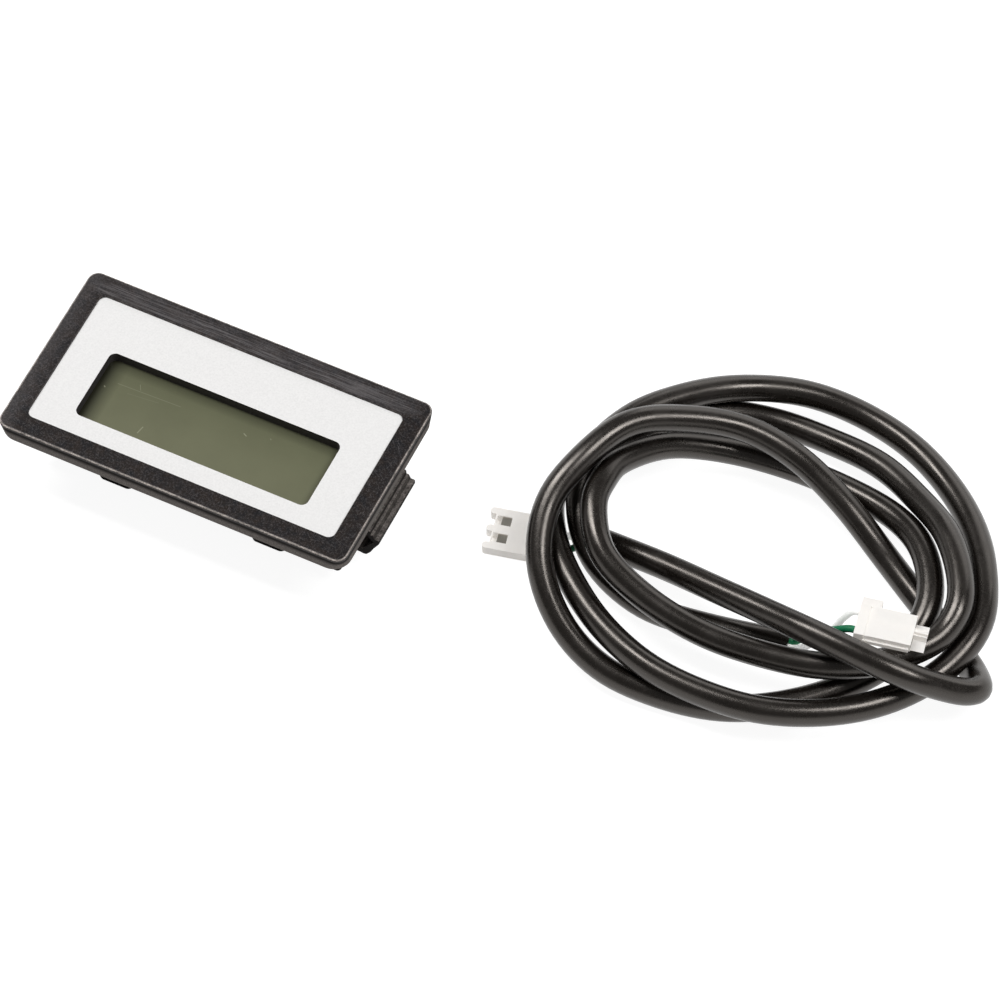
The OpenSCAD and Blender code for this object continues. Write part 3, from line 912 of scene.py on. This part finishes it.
class Paintbox:
    """Builds each finish once and puts it on the pieces.

    Args:
        nodes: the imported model's objects by name.
    """

    def __init__(self, nodes: dict[str, bpy.types.Object]) -> None:
        """Builds a material for each finish."""
        effects = Effects()
        self.nodes = nodes
        self.materials = {finish: recipe.build(finish.value, effects) for finish, recipe in RECIPES.items()}

    def coat(self, piece: bpy.types.Object, finish: Finish) -> None:
        """Gives a piece one finish in place of what it had."""
        piece.data.materials.clear()
        piece.data.materials.append(self.materials[finish])

    def coat_node(self, finish: Finish, *names: str) -> None:
        """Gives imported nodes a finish.

        Args:
            finish: the finish they get.
            names: the nodes' names.
        """
        for name in names:
            self.coat(self.nodes[name], finish)
            LOG.info("dressed %s in %s", name, finish.value)

    def stand_in(self, piece: bpy.types.Object, finish: Finish, node: str) -> bpy.types.Object:
        """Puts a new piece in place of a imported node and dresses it.

        Args:
            piece: the new piece.
            finish: its finish.
            node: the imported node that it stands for.

        Returns:
            The piece.
        """
        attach(piece, BODY)
        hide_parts(node)
        self.coat(piece, finish)
        LOG.info("made %s for %s", piece.name, node)
        return piece


class Build:
    """A mesh in the making, from outlines joined in turn, blocks and bars, with broken edges.

    Attributes:
        mesh: the mesh being built.
        wear_and_painted_light: its mask of rubbed edges and of painted highlights, one value a face.
    """

    def __init__(self) -> None:
        """Starts an empty mesh."""
        self.mesh = bmesh.new()
        self.wear_and_painted_light = self.mesh.faces.layers.float.new("wear_and_painted_light")

    def outline(
        self, size: tuple[float, float], radius: float, height: float, across: float = 0.0
    ) -> list[bmesh.types.BMEdge]:
        """Adds the outline of a rectangle with round corners.

        Args:
            size: its length and width.
            radius: the radius of its corners.
            height: where it lies along Z.
            across: how far its middle lies from the origin along Y.

        Returns:
            The outline's edges.
        """
        before = set(self.mesh.faces)
        place = Matrix.Translation((0, across, height)) @ Matrix.Diagonal((*size, 1, 1))
        made = bmesh.ops.create_grid(self.mesh, x_segments=1, y_segments=1, size=0.5, matrix=place)
        bmesh.ops.bevel(
            self.mesh, geom=made["verts"], offset=radius, offset_type="OFFSET", segments=CORNER_STEPS,
            profile=0.5, affect="VERTICES", material=-1,
        )
        face = (set(self.mesh.faces) - before).pop()
        edges = list(face.edges)
        bmesh.ops.delete(self.mesh, geom=[face], context="FACES_ONLY")
        return edges

    def skin(self, rings: list[list[bmesh.types.BMEdge]], wear_and_painted_light: float = 0.0) -> None:
        """Joins outlines in turn with bands of faces.

        Args:
            rings: the outlines in order.
            wear_and_painted_light: how rubbed the bands are, or how strong a painted highlight lies on them,
                0 to 1.
        """
        for first, second in zip(rings, rings[1:]):
            made = bmesh.ops.bridge_loops(self.mesh, edges=[*first, *second])
            for face in made["faces"]:
                face[self.wear_and_painted_light] = wear_and_painted_light

    def broken(self, edges: list[bmesh.types.BMEdge], width: float, segments: int = 2) -> None:
        """Rounds edges off and marks them as rubbed.

        Args:
            edges: the edges to round.
            width: how far each is cut back.
            segments: the number of facets across each edge.
        """
        made = bmesh.ops.bevel(
            self.mesh, geom=edges, offset=width, offset_type="OFFSET", segments=segments,
            profile=0.5, affect="EDGES", material=-1, clamp_overlap=True, loop_slide=True,
        )
        for face in made["faces"]:
            face[self.wear_and_painted_light] = 1.0

    def block(self, low: Vector, high: Vector, cut: float) -> None:
        """Adds a block with broken edges.

        Args:
            low: its lowest corner.
            high: its highest corner.
            cut: how far its edges are cut back.
        """
        place = Matrix.Translation((low + high) / 2) @ Matrix.Diagonal((*(high - low), 1))
        made = bmesh.ops.create_cube(self.mesh, size=1, matrix=place)
        self.broken(list({edge for vert in made["verts"] for edge in vert.link_edges}), cut)

    def bar(self, profile: list[tuple[float, float]], width: float, cut: float) -> list[bmesh.types.BMVert]:
        """Adds a bar along Y from its side view, with a painted highlight on the faces that face up.

        Args:
            profile: the side view's corners as X and Z.
            width: the bar's width, centred on the XZ plane.
            cut: how far its edges are cut back.

        Returns:
            The bar's vertices.
        """
        before = set(self.mesh.verts)
        side = self.mesh.faces.new([self.mesh.verts.new((x, -width / 2, z)) for x, z in profile])
        made = bmesh.ops.extrude_face_region(self.mesh, geom=[side])
        moved = [item for item in made["geom"] if isinstance(item, bmesh.types.BMVert)]
        bmesh.ops.translate(self.mesh, verts=moved, vec=(0, width, 0))
        bent = [
            edge for edge in self.mesh.edges
            if edge.verts[0] not in before and edge.verts[1] not in before
            and edge.is_manifold and edge.calc_face_angle() > math.radians(20)
        ]
        self.broken(bent, cut)
        verts = [vert for vert in self.mesh.verts if vert not in before]
        faces = list({face for vert in verts for face in vert.link_faces})
        bmesh.ops.recalc_face_normals(self.mesh, faces=faces)
        # Painted highlight: the more a face points up, the stronger
        for face in faces:
            face[self.wear_and_painted_light] = max(0.0, face.normal.z) * 0.55
        return verts

    def done(self, name: str) -> bpy.types.Object:
        """Turns the faces outward and makes the piece.

        Args:
            name: the piece's name.

        Returns:
            The new object, linked to the scene.
        """
        bmesh.ops.recalc_face_normals(self.mesh, faces=self.mesh.faces)
        for face in self.mesh.faces:
            face.smooth = True
        mesh = bpy.data.meshes.new(name)
        self.mesh.to_mesh(mesh)
        self.mesh.free()
        mesh.set_sharp_from_angle(angle=SHARP_ANGLE)
        piece = linked(name, mesh)
        piece.modifiers.new("flat_faces", "WEIGHTED_NORMAL").keep_sharp = True
        return piece


def softened(node: bpy.types.Object, name: str, width: float, segments: int = 2) -> bpy.types.Object:
    """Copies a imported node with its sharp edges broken.

    Args:
        node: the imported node's object.
        name: the new piece's name.
        width: how far each edge is cut back, in metres.
        segments: the number of facets across each edge.

    Returns:
        The new object, linked to the scene.
    """
    build = Build()
    shape = build.mesh
    shape.from_mesh(node.data)
    bmesh.ops.remove_doubles(shape, verts=shape.verts, dist=0.002 * MM)
    bmesh.ops.dissolve_limit(
        shape, angle_limit=math.radians(0.5), use_dissolve_boundaries=False,
        verts=shape.verts, edges=shape.edges, delimit={"NORMAL"},
    )
    sharp = [
        edge for edge in shape.edges
        if edge.is_manifold and edge.calc_face_angle() > math.radians(50)
    ]
    build.broken(sharp, width, segments)
    return build.done(name)


def eased(points: list[Vector], steps: int) -> list[Vector]:
    """Draws a smooth line through points and takes the last kinks out of it.

    Args:
        points: the points, in order.
        steps: the number of steps between two points.

    Returns:
        The smooth line's points.
    """
    ends = [2 * points[0] - points[1], *points, 2 * points[-1] - points[-2]]
    line = []
    for before, start, end, after in zip(ends, ends[1:], ends[2:], ends[3:]):
        for step in range(steps):
            t = step / steps
            line.append(0.5 * (
                2 * start + (end - before) * t + (2 * before - 5 * start + 4 * end - after) * t ** 2
                + (3 * start - before - 3 * end + after) * t ** 3
            ))
    line.append(points[-1])
    for _ in range(EASING_PASSES):
        middle = [(a + 2 * b + c) / 4 for a, b, c in zip(line, line[1:], line[2:])]
        line = [line[0], *middle, line[-1]]
    return line


def drawn(name: str, points: list[Vector], diameter: float, sides: int) -> bpy.types.Object:
    """Draws a round flexible piece along a line, as one open curve.

    Args:
        name: the new piece's name.
        points: the points that it passes through, in metres.
        diameter: its outer diameter in metres.
        sides: the number of steps in each quarter of its section.

    Returns:
        The new curve object, linked to the scene.
    """
    curve = bpy.data.curves.new(name, "CURVE")
    curve.dimensions = "3D"
    curve.bevel_depth = 1.0
    curve.bevel_resolution = sides
    curve.use_fill_caps = True
    spline = curve.splines.new("POLY")
    spline.points.add(len(points) - 1)
    for knot, point in zip(spline.points, points):
        knot.co = (*point, 1)
        knot.radius = diameter / 2
    spline.use_smooth = True
    return linked(name, curve)


@dataclass(frozen=True)
class Lamp:
    """A soft rectangular lamp that faces the part.

    Attributes:
        name: the lamp's name.
        way: its direction from the part.
        away: its distance from the part in metres.
        size: its two sides in metres.
        power: its power in watts.
    """

    name: str
    way: Point
    away: float
    size: tuple[float, float]
    power: float

    def hang(self, middle: Vector) -> None:
        """Adds the lamp to the scene.

        Args:
            middle: the point that it faces.
        """
        data = bpy.data.lights.new(self.name, "AREA")
        data.shape = "RECTANGLE"
        data.size, data.size_y = self.size
        data.energy = self.power
        holder = linked(self.name, data)
        offset = Vector(self.way).normalized() * self.away
        holder.location = middle + offset
        holder.rotation_euler = offset.to_track_quat("Z", "Y").to_euler()


@dataclass
class Studio:
    """The camera, lamps, world and floor.

    Attributes:
        lens: the focal length on a 36 mm film, in millimetres.
        place: the camera's place in millimetres.
        elevation: the camera's height above the horizon, in degrees.
        azimuth: the camera's turn round the part, in degrees.
        middle: the point that the lamps face, in millimetres.
        level: the world's strength.
        paper_glow: how white the paper shows without any light, 0 to 1.
        paper_lit: how much of the light and shadow on the paper shows, 0 to 1.
        wall_radius: the distance of the wall from the part, in metres.
        wall_height: the height of the wall, in metres.
        lamps: the lamps.
    """

    lens: float = 216.0
    place: Point = (204.78, -347.02, 602.72)
    elevation: float = 56.633
    azimuth: float = 25.727
    middle: Point = (36, 14, 0)
    level: float = 0.17
    paper_glow: float = 0.92
    paper_lit: float = 0.3
    wall_radius: float = 2.0
    wall_height: float = 0.6
    lamps: tuple[Lamp, ...] = (
        Lamp("left", way=(-0.48, 0.03, 0.875), away=0.7, size=(0.17, 0.42), power=2.8),
        Lamp("right", way=(0.48, 0.04, 0.87), away=0.7, size=(0.17, 0.3), power=1.85),
        Lamp("far", way=(0.08, 0.88, 0.48), away=0.9, size=(0.9, 0.4), power=1.6),
    )

    def camera(self) -> None:
        """Places the camera where the photograph was taken from."""
        data = bpy.data.cameras.new("camera")
        data.lens = self.lens
        data.sensor_width = 36
        data.clip_start = 0.01
        data.clip_end = 20
        holder = linked("camera", data)
        holder.location = Vector(self.place) * MM
        angles = (90 - self.elevation, 0, self.azimuth)
        holder.rotation_euler = Euler([math.radians(angle) for angle in angles])
        bpy.context.scene.camera = holder

    def world(self) -> None:
        """Lights the part evenly from all round."""
        world = bpy.data.worlds.new("surroundings")
        world.use_nodes = True
        bpy.context.scene.world = world
        soft = world.node_tree.nodes["Background"]
        soft.inputs["Color"].default_value = (1, 1, 1, 1)
        soft.inputs["Strength"].default_value = self.level

    def paper(self) -> bpy.types.Material:
        """Makes the white paper of the floor and wall, which shows white but keeps the part's shadow.

        Returns:
            The paper's material.
        """
        material = bpy.data.materials.new("white_paper")
        material.use_nodes = True
        wiring = Wiring(material.node_tree)
        matt = material.node_tree.nodes["Principled BSDF"]
        matt.inputs["Base Color"].default_value = (0.9, 0.9, 0.9, 1)
        matt.inputs["Roughness"].default_value = 1.0
        matt.inputs["Specular IOR Level"].default_value = 0.0
        lit = wiring.add("ShaderNodeMixShader", {0: self.paper_lit, 2: matt.outputs[0]})
        glow = wiring.add("ShaderNodeEmission", {"Strength": self.paper_glow})
        pale = wiring.add("ShaderNodeAddShader", {0: lit.outputs[0], 1: glow.outputs[0]})
        mixed = {0: wiring.shown(), 1: matt.outputs[0], 2: pale.outputs[0]}
        choice = wiring.add("ShaderNodeMixShader", mixed)
        wiring.tree.links.new(choice.outputs[0], material.node_tree.nodes["Material Output"].inputs[0])
        return material

    def backdrop(self) -> None:
        """Lays the white floor and stands a low white wall round it."""
        paper = self.paper()
        floor = bmesh.new()
        bmesh.ops.create_grid(floor, x_segments=1, y_segments=1, size=self.wall_radius)
        wall = bmesh.new()
        bmesh.ops.create_cone(
            wall, segments=64, radius1=self.wall_radius, radius2=self.wall_radius, depth=self.wall_height,
            matrix=Matrix.Translation((0, 0, self.wall_height / 2)),
        )
        for name, shape in (("floor", floor), ("wall", wall)):
            mesh = bpy.data.meshes.new(name)
            shape.to_mesh(mesh)
            shape.free()
            mesh.materials.append(paper)
            linked(name, mesh)

    def build(self) -> None:
        """Sets up the camera, the lamps, the world and the backdrop."""
        bpy.context.scene.view_settings.view_transform = "Standard"
        self.camera()
        for lamp in self.lamps:
            lamp.hang(Vector(self.middle) * MM)
        self.world()
        self.backdrop()


@dataclass(frozen=True)
class PlugSeat:
    """Where a plug lies.

    Attributes:
        at: the middle of its rear face in millimetres.
        turn: its turn about Z in degrees.
    """

    at: Point
    turn: float

    def frame(self) -> Matrix:
        """Gives the turn and move, in metres, from the plug's own frame."""
        return Matrix.Translation(Vector(self.at) * MM) @ Matrix.Rotation(math.radians(self.turn), 4, "Z")


@dataclass(frozen=True)
class WireEnd:
    """One wire between the jacket's end and a plug.

    Attributes:
        node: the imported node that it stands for.
        finish: its colour.
        at_start: whether it leaves the jacket's first end.
        start_side: the side of the jacket's axis that it leaves from, 1 or -1.
        via: the points on its way in millimetres.
        seat: where its plug lies.
        side: the side of the plug's axis that it goes to, 1 or -1.
    """

    node: str
    finish: Finish
    at_start: bool
    start_side: int
    via: tuple[Point, ...]
    seat: PlugSeat
    side: int


PLUG_A = PlugSeat((41.25, 7.5, 0), 193)
PLUG_B = PlugSeat((80.2, 7.6, 9.1), 11)


@dataclass
class Lead:
    """The two-wire lead: its jacket, the four wire ends and the two plugs.

    Attributes:
        jacket_diameter: the jacket's outer diameter in metres.
        wire_diameter: each wire's outer diameter in metres.
        pitch: the distance between a plug's two contacts.
        plug_thickness: the thickness of each plug.
        plug_edge: how far the plugs' edges are cut back.
        wires: the four wire ends.
        route: the jacket's centre line from plug A's end to plug B's, in millimetres.
    """

    jacket_diameter: float = 3.3 * MM
    wire_diameter: float = 0.9 * MM
    pitch: float = 2.5 * MM
    plug_thickness: float = 1.4 * MM
    plug_edge: float = 0.08 * MM
    wires: tuple[WireEnd, ...] = (
        WireEnd("wire_a_green", Finish.GREEN, True, -1, ((44.9, 8.7, 1), (43.6, 7.7, 0.8)), PLUG_A, 1),
        WireEnd("wire_a_white", Finish.WHITE, True, 1, ((44.9, 9.9, 1), (43.3, 9.3, 0.8)), PLUG_A, -1),
        WireEnd(
            "wire_b_green", Finish.GREEN, False, -1,
            ((74.2, 7, 3.2), (75.4, 6.7, 5), (76.7, 6.4, 6.9), (78.1, 6.1, 8.6)), PLUG_B, -1,
        ),
        WireEnd(
            "wire_b_white", Finish.WHITE, False, 1,
            ((74.6, 6.1, 2.4), (76.2, 7.4, 4), (77.4, 8.1, 6), (78.3, 8.3, 8.3)), PLUG_B, 1,
        ),
    )
    route: list[Point] = field(default_factory=lambda: [
        (47, 9.5, 1.7), (55, 8.5, 3.5), (62.5, 7, 5.5), (70, 5.5, 7.5),
        (76.5, 4, 9.5), (83.5, 3.5, 9.5), (88.5, 4, 8.5), (92, 5.5, 6.5),
        (94.5, 7, 5), (95.5, 8.5, 4), (95, 10, 3), (93.5, 12, 1.7),
        (90, 14.5, 1.7), (83.5, 18.5, 1.7), (77.5, 22, 2.5), (71, 25, 5),
        (64, 27.5, 6.5), (57, 27.5, 8.5), (50.5, 24.5, 10.5), (45, 20, 12),
        (42, 13.5, 11.5), (40.5, 7, 9.5), (42.5, 0.5, 7), (47.5, -4.5, 4.5),
        (54, -7, 2.5), (61.5, -7, 1.7), (69, -5.5, 1.7), (75.5, -2, 2),
        (81, 3, 2.5), (85, 9, 3.5), (86, 16, 5.5), (82.5, 22.5, 5.5),
        (77, 26.5, 4), (69.5, 28.5, 2.5), (62, 28.5, 2.5), (55, 26.5, 4),
        (49, 22.5, 6.5), (45.5, 17, 8.5), (45, 13, 9.5), (45.5, 9, 9.5),
        (49, 4, 8.5), (55.5, 1.5, 7), (63, 0.5, 6), (70, 1, 5.5),
        (77.5, 2.5, 5.5), (83.5, 5, 6.5), (87, 8, 7), (89.5, 12, 7.3),
        (89.5, 17, 8.5), (85, 24, 8), (79, 29, 5.5), (72.5, 32.5, 4),
        (65, 34, 2.5), (57.5, 34, 2), (50.5, 31.5, 2.5), (45, 26, 3),
        (41, 19, 4), (39, 12, 4.5), (42, 5.5, 5), (47, 0.5, 5),
        (53, -3.5, 5), (60, -6, 5), (67.5, -6.5, 5), (74.5, -5.5, 5),
        (81.5, -2, 4.5), (87, 3, 4), (91, 9, 4.5), (92.5, 16, 5.5),
        (90, 23, 5.5), (86, 29, 4.5), (80.5, 34, 3.5), (74, 37.5, 3),
        (66.5, 39, 3), (59.5, 38, 4), (52.5, 34.5, 5), (47.5, 29.5, 6.5),
        (43.5, 23.5, 7.5), (41.5, 16, 7.5), (43.5, 9.5, 6), (48, 5, 4),
        (55, 3, 2.5), (62.5, 4, 1.7), (70, 5.5, 1.7), (72.5, 6, 1.7),
    ])

    def points(self) -> list[Vector]:
        """Gives the jacket's centre line in metres."""
        return [Vector(point) * MM for point in self.route]

    def wire_points(self, wire: WireEnd) -> list[Vector]:
        """Gives one wire's centre line, from inside the jacket's end to its contact.

        Args:
            wire: the wire.

        Returns:
            The line's points in metres.
        """
        along = self.points()
        end, inner = (along[0], along[1]) if wire.at_start else (along[-1], along[-2])
        out = (end - inner).normalized()
        beside = out.cross(Vector((0, 0, 1))).normalized()
        start = end + beside * wire.start_side * (self.wire_diameter / 2 + 0.05 * MM)
        across, up = wire.side * self.pitch / 2, self.plug_thickness / 2
        return [
            *[start + reach * MM * out for reach in (-0.8, 0, 0.7)],
            *[Vector(point) * MM for point in wire.via],
            *[wire.seat.frame() @ Vector((reach * MM, across, up)) for reach in (-0.7, 0.3, 2)],
        ]

    def web(self, paint: Paintbox) -> bpy.types.Object:
        """Closes the groove behind plug B's collar with a thin web.

        Args:
            paint: the finishes.

        Returns:
            The web.
        """
        build = Build()
        top = self.plug_thickness
        low = Vector((1.1 * MM, -1.95 * MM, top - 0.3 * MM))
        high = Vector((1.55 * MM, 1.95 * MM, top - 0.13 * MM))
        build.block(low, high, 0.02 * MM)
        bmesh.ops.transform(build.mesh, matrix=PLUG_B.frame(), verts=build.mesh.verts)
        web = build.done("plug_b_web")
        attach(web, BODY)
        paint.coat(web, Finish.PLUG)
        return web

    def build(self, paint: Paintbox) -> None:
        """Args:
            paint: the finishes.
        """
        line = eased(self.points(), 7)
        sheath = drawn("lead_sheath", line, self.jacket_diameter, 6)
        jacket = paint.stand_in(sheath, Finish.JACKET, "lead_jacket")
        for wire in self.wires:
            core = drawn(f"{wire.node}_core", eased(self.wire_points(wire), 6), self.wire_diameter, 4)
            paint.stand_in(core, wire.finish, wire.node)
        for node in ("plug_a", "plug_b"):
            body = softened(paint.nodes[node], f"{node}_body", self.plug_edge)
            paint.stand_in(body, Finish.PLUG, node)
        self.web(paint)
        contacts = [f"contact_{plug}_{number}" for plug in "ab" for number in (1, 2)]
        paint.coat_node(Finish.TIN, *contacts)


@dataclass
class DisplayHead:
    """The head: its moulded case and faceplate, the display stack and the rear.

    Attributes:
        bezel_depth: the bezel flange's thickness.
        back_radius: the radius of the bezel's corners at its back.
        face_radius: the radius of the bezel's corners at its face.
        face_roll: the radius rolled along the face's edge.
        back_roll: the radius rolled along the back's edge.
        plate_radius: the radius of the faceplate's corners.
        plate_gap: the gap round the faceplate.
        lip: how far the recess's edge is cut back at the face.
        housing: the housing's length and width.
        housing_radius: the radius of the housing's corners.
        housing_foot: how far the housing's lower edge is cut back.
        wall: the thickness of the housing's walls.
        cavity_radius: the radius of the corners inside the housing.
        clip_width: the width of each snap clip.
        clip_edge: how far the clips' edges are cut back.
        clip_profile: a clip's side view in millimetres, X from the housing's wall outward.
    """

    bezel_depth: float = 2.4 * MM
    back_radius: float = 2.3 * MM
    face_radius: float = 1.4 * MM
    face_roll: float = 0.3 * MM
    back_roll: float = 0.25 * MM
    plate_radius: float = 0.9 * MM
    plate_gap: float = 0.01 * MM
    lip: float = 0.08 * MM
    housing: tuple[float, float] = (41 * MM, 17 * MM)
    housing_radius: float = 0.5 * MM
    housing_foot: float = 0.15 * MM
    wall: float = 1.2 * MM
    cavity_radius: float = 0.3 * MM
    clip_width: float = 9.75 * MM
    clip_edge: float = 0.08 * MM
    clip_profile: tuple[tuple[float, float], ...] = (
        (-0.2, 2.6), (0.9, 2.6), (1.35, 2.5), (1.75, 2.6), (2.3, 3.4), (2.75, 4.46), (3.4, 5.69),
        (3.5, 5.94), (3.5, 6.49), (3.4, 6.59), (2.95, 6.59), (2.7, 7.27), (2.4, 7.27), (2.35, 7.95),
        (1.8, 7.95), (2.0, 6.75), (2.75, 5.75), (2.05, 4.79), (1.3, 3.65), (0.7, 3.75), (-0.2, 4.2),
    )

    def case(self) -> bpy.types.Object:
        """Builds the case as one closed skin, from the window round and back to it, and its clips.

        Returns:
            The case.
        """
        build = Build()
        low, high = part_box("bezel_case")
        plate_low, plate_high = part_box("faceplate")
        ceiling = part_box("lcd_front_polariser")[1][2]
        face, back, foot = high[2], high[2] - self.bezel_depth, low[2]
        plate = (plate_high[0] - plate_low[0], plate_high[1] - plate_low[1])
        plate_across = (plate_high[1] + plate_low[1]) / 2
        turns = [math.radians(angle) for angle in (0, 18, 36, 54, 72, 90)]
        window = [
            build.outline(WINDOW, self.plate_radius, height, WINDOW_ACROSS)
            for height in (ceiling, plate_low[2])
        ]
        recess = [
            build.outline(shrunk(plate, -gap), self.plate_radius + gap, height, plate_across)
            for gap, height in (
                (self.plate_gap, plate_low[2]), (self.plate_gap, face - self.lip), (self.lip, face),
            )
        ]
        front = []
        for turn in turns:
            inset = self.face_roll * (1 - math.sin(turn))
            height = face - self.face_roll * (1 - math.cos(turn))
            front.append(build.outline(shrunk(BEZEL, inset), self.face_radius - inset, height))
        rear = []
        for turn in turns[::2] + turns[-1:]:
            inset = self.back_roll * (1 - math.cos(turn))
            height = back + self.back_roll * (1 - math.sin(turn))
            rear.append(build.outline(shrunk(BEZEL, inset), self.back_radius - inset, height))
        housing = [
            build.outline(shrunk(self.housing, inset), self.housing_radius - inset, height)
            for inset, height in ((0, back), (0, foot + self.housing_foot), (self.housing_foot, foot))
        ]
        cavity = shrunk(self.housing, self.wall)
        inside = [build.outline(cavity, self.cavity_radius, height) for height in (foot, ceiling)]
        # The face's rolled edge gets the painted highlight in full; the recess's lip, the bands beside the
        # roll and the back's edge get a faint one
        for rings, wear_and_painted_light in (
            ([*window, recess[0]], 0.0),
            (recess[:2], 0.0),
            (recess[1:], 0.15),
            ([recess[-1], front[0]], 0.0),
            (front[:2], 0.1),
            (front[1:4], 1.0),
            (front[3:], 0.1),
            ([front[-1], rear[0]], 0.0),
            (rear, 0.1),
            ([rear[-1], *housing, *inside, window[0]], 0.0),
        ):
            build.skin(rings, wear_and_painted_light)
        for side in (1, -1):
            self.clip(build, side)
        return build.done("case_shell")

    def clip(self, build: Build, side: int) -> None:
        """Adds one snap clip to the case.

        Args:
            build: the case's mesh in the making.
            side: 1 for the right-hand clip, -1 for the left-hand one.
        """
        wall = self.housing[0] / 2
        profile = [(wall + x * MM, z * MM) for x, z in self.clip_profile]
        verts = build.bar(profile, self.clip_width, self.clip_edge)
        if side < 0:
            half_turn = Matrix.Rotation(math.pi, 3, "Z")
            bmesh.ops.rotate(build.mesh, verts=verts, cent=(0, 0, 0), matrix=half_turn)

    def build(self, paint: Paintbox) -> None:
        """Builds and dresses the head.

        Args:
            paint: the finishes.
        """
        paint.stand_in(self.case(), Finish.CASE, "bezel_case")
        for node, name, finish, width in (
            ("rear_cover", "rear_cover_shell", Finish.CASE, 0.12 * MM),
            ("header_base", "header_body", Finish.HEADER, 0.1 * MM),
        ):
            paint.stand_in(softened(paint.nodes[node], name, width), finish, node)
        for number in range(1, 5):
            foot = softened(paint.nodes[f"foot_pad_{number}"], f"foot_{number}", 0.3 * MM, 3)
            paint.stand_in(foot, Finish.FOOT, f"foot_pad_{number}")
        for finish, names in {
            Finish.FACEPLATE: ("faceplate",),
            Finish.FILM: ("lcd_front_polariser",),
            Finish.GLASS: ("lcd_front_glass", "lcd_rear_glass"),
            Finish.REFLECTOR: ("lcd_reflector",),
            Finish.FRAME: ("lcd_frame",),
            Finish.RUBBER_CONTACT: ("zebra_strip",),
            Finish.BOARD: ("circuit_board",),
            Finish.CHIP: ("controller_chip", *(f"resistor_{i}" for i in range(1, 5))),
            Finish.TIN: ("chip_leads", "header_pin_1", "header_pin_2", "cell_clip"),
            Finish.CAN: ("crystal", "coin_cell"),
            Finish.CERAMIC: tuple(f"capacitor_{i}" for i in range(1, 4)),
            Finish.GOLD: ("cell_pad",),
            Finish.SCREW: ("board_screw_1", "board_screw_2", *(f"cover_screw_{i}" for i in range(1, 5))),
        }.items():
            paint.coat_node(finish, *names)


def main() -> None:
    """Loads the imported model, lights it and dresses it piece by piece."""
    logging.basicConfig(level=logging.INFO, format="%(name)s: %(message)s")
    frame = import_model()
    bpy.context.view_layer.update()
    Studio().build()
    paint = Paintbox(frame["nodes"])
    Lead().build(paint)
    DisplayHead().build(paint)
    bpy.context.view_layer.update()


if __name__ == "__main__":
    main()
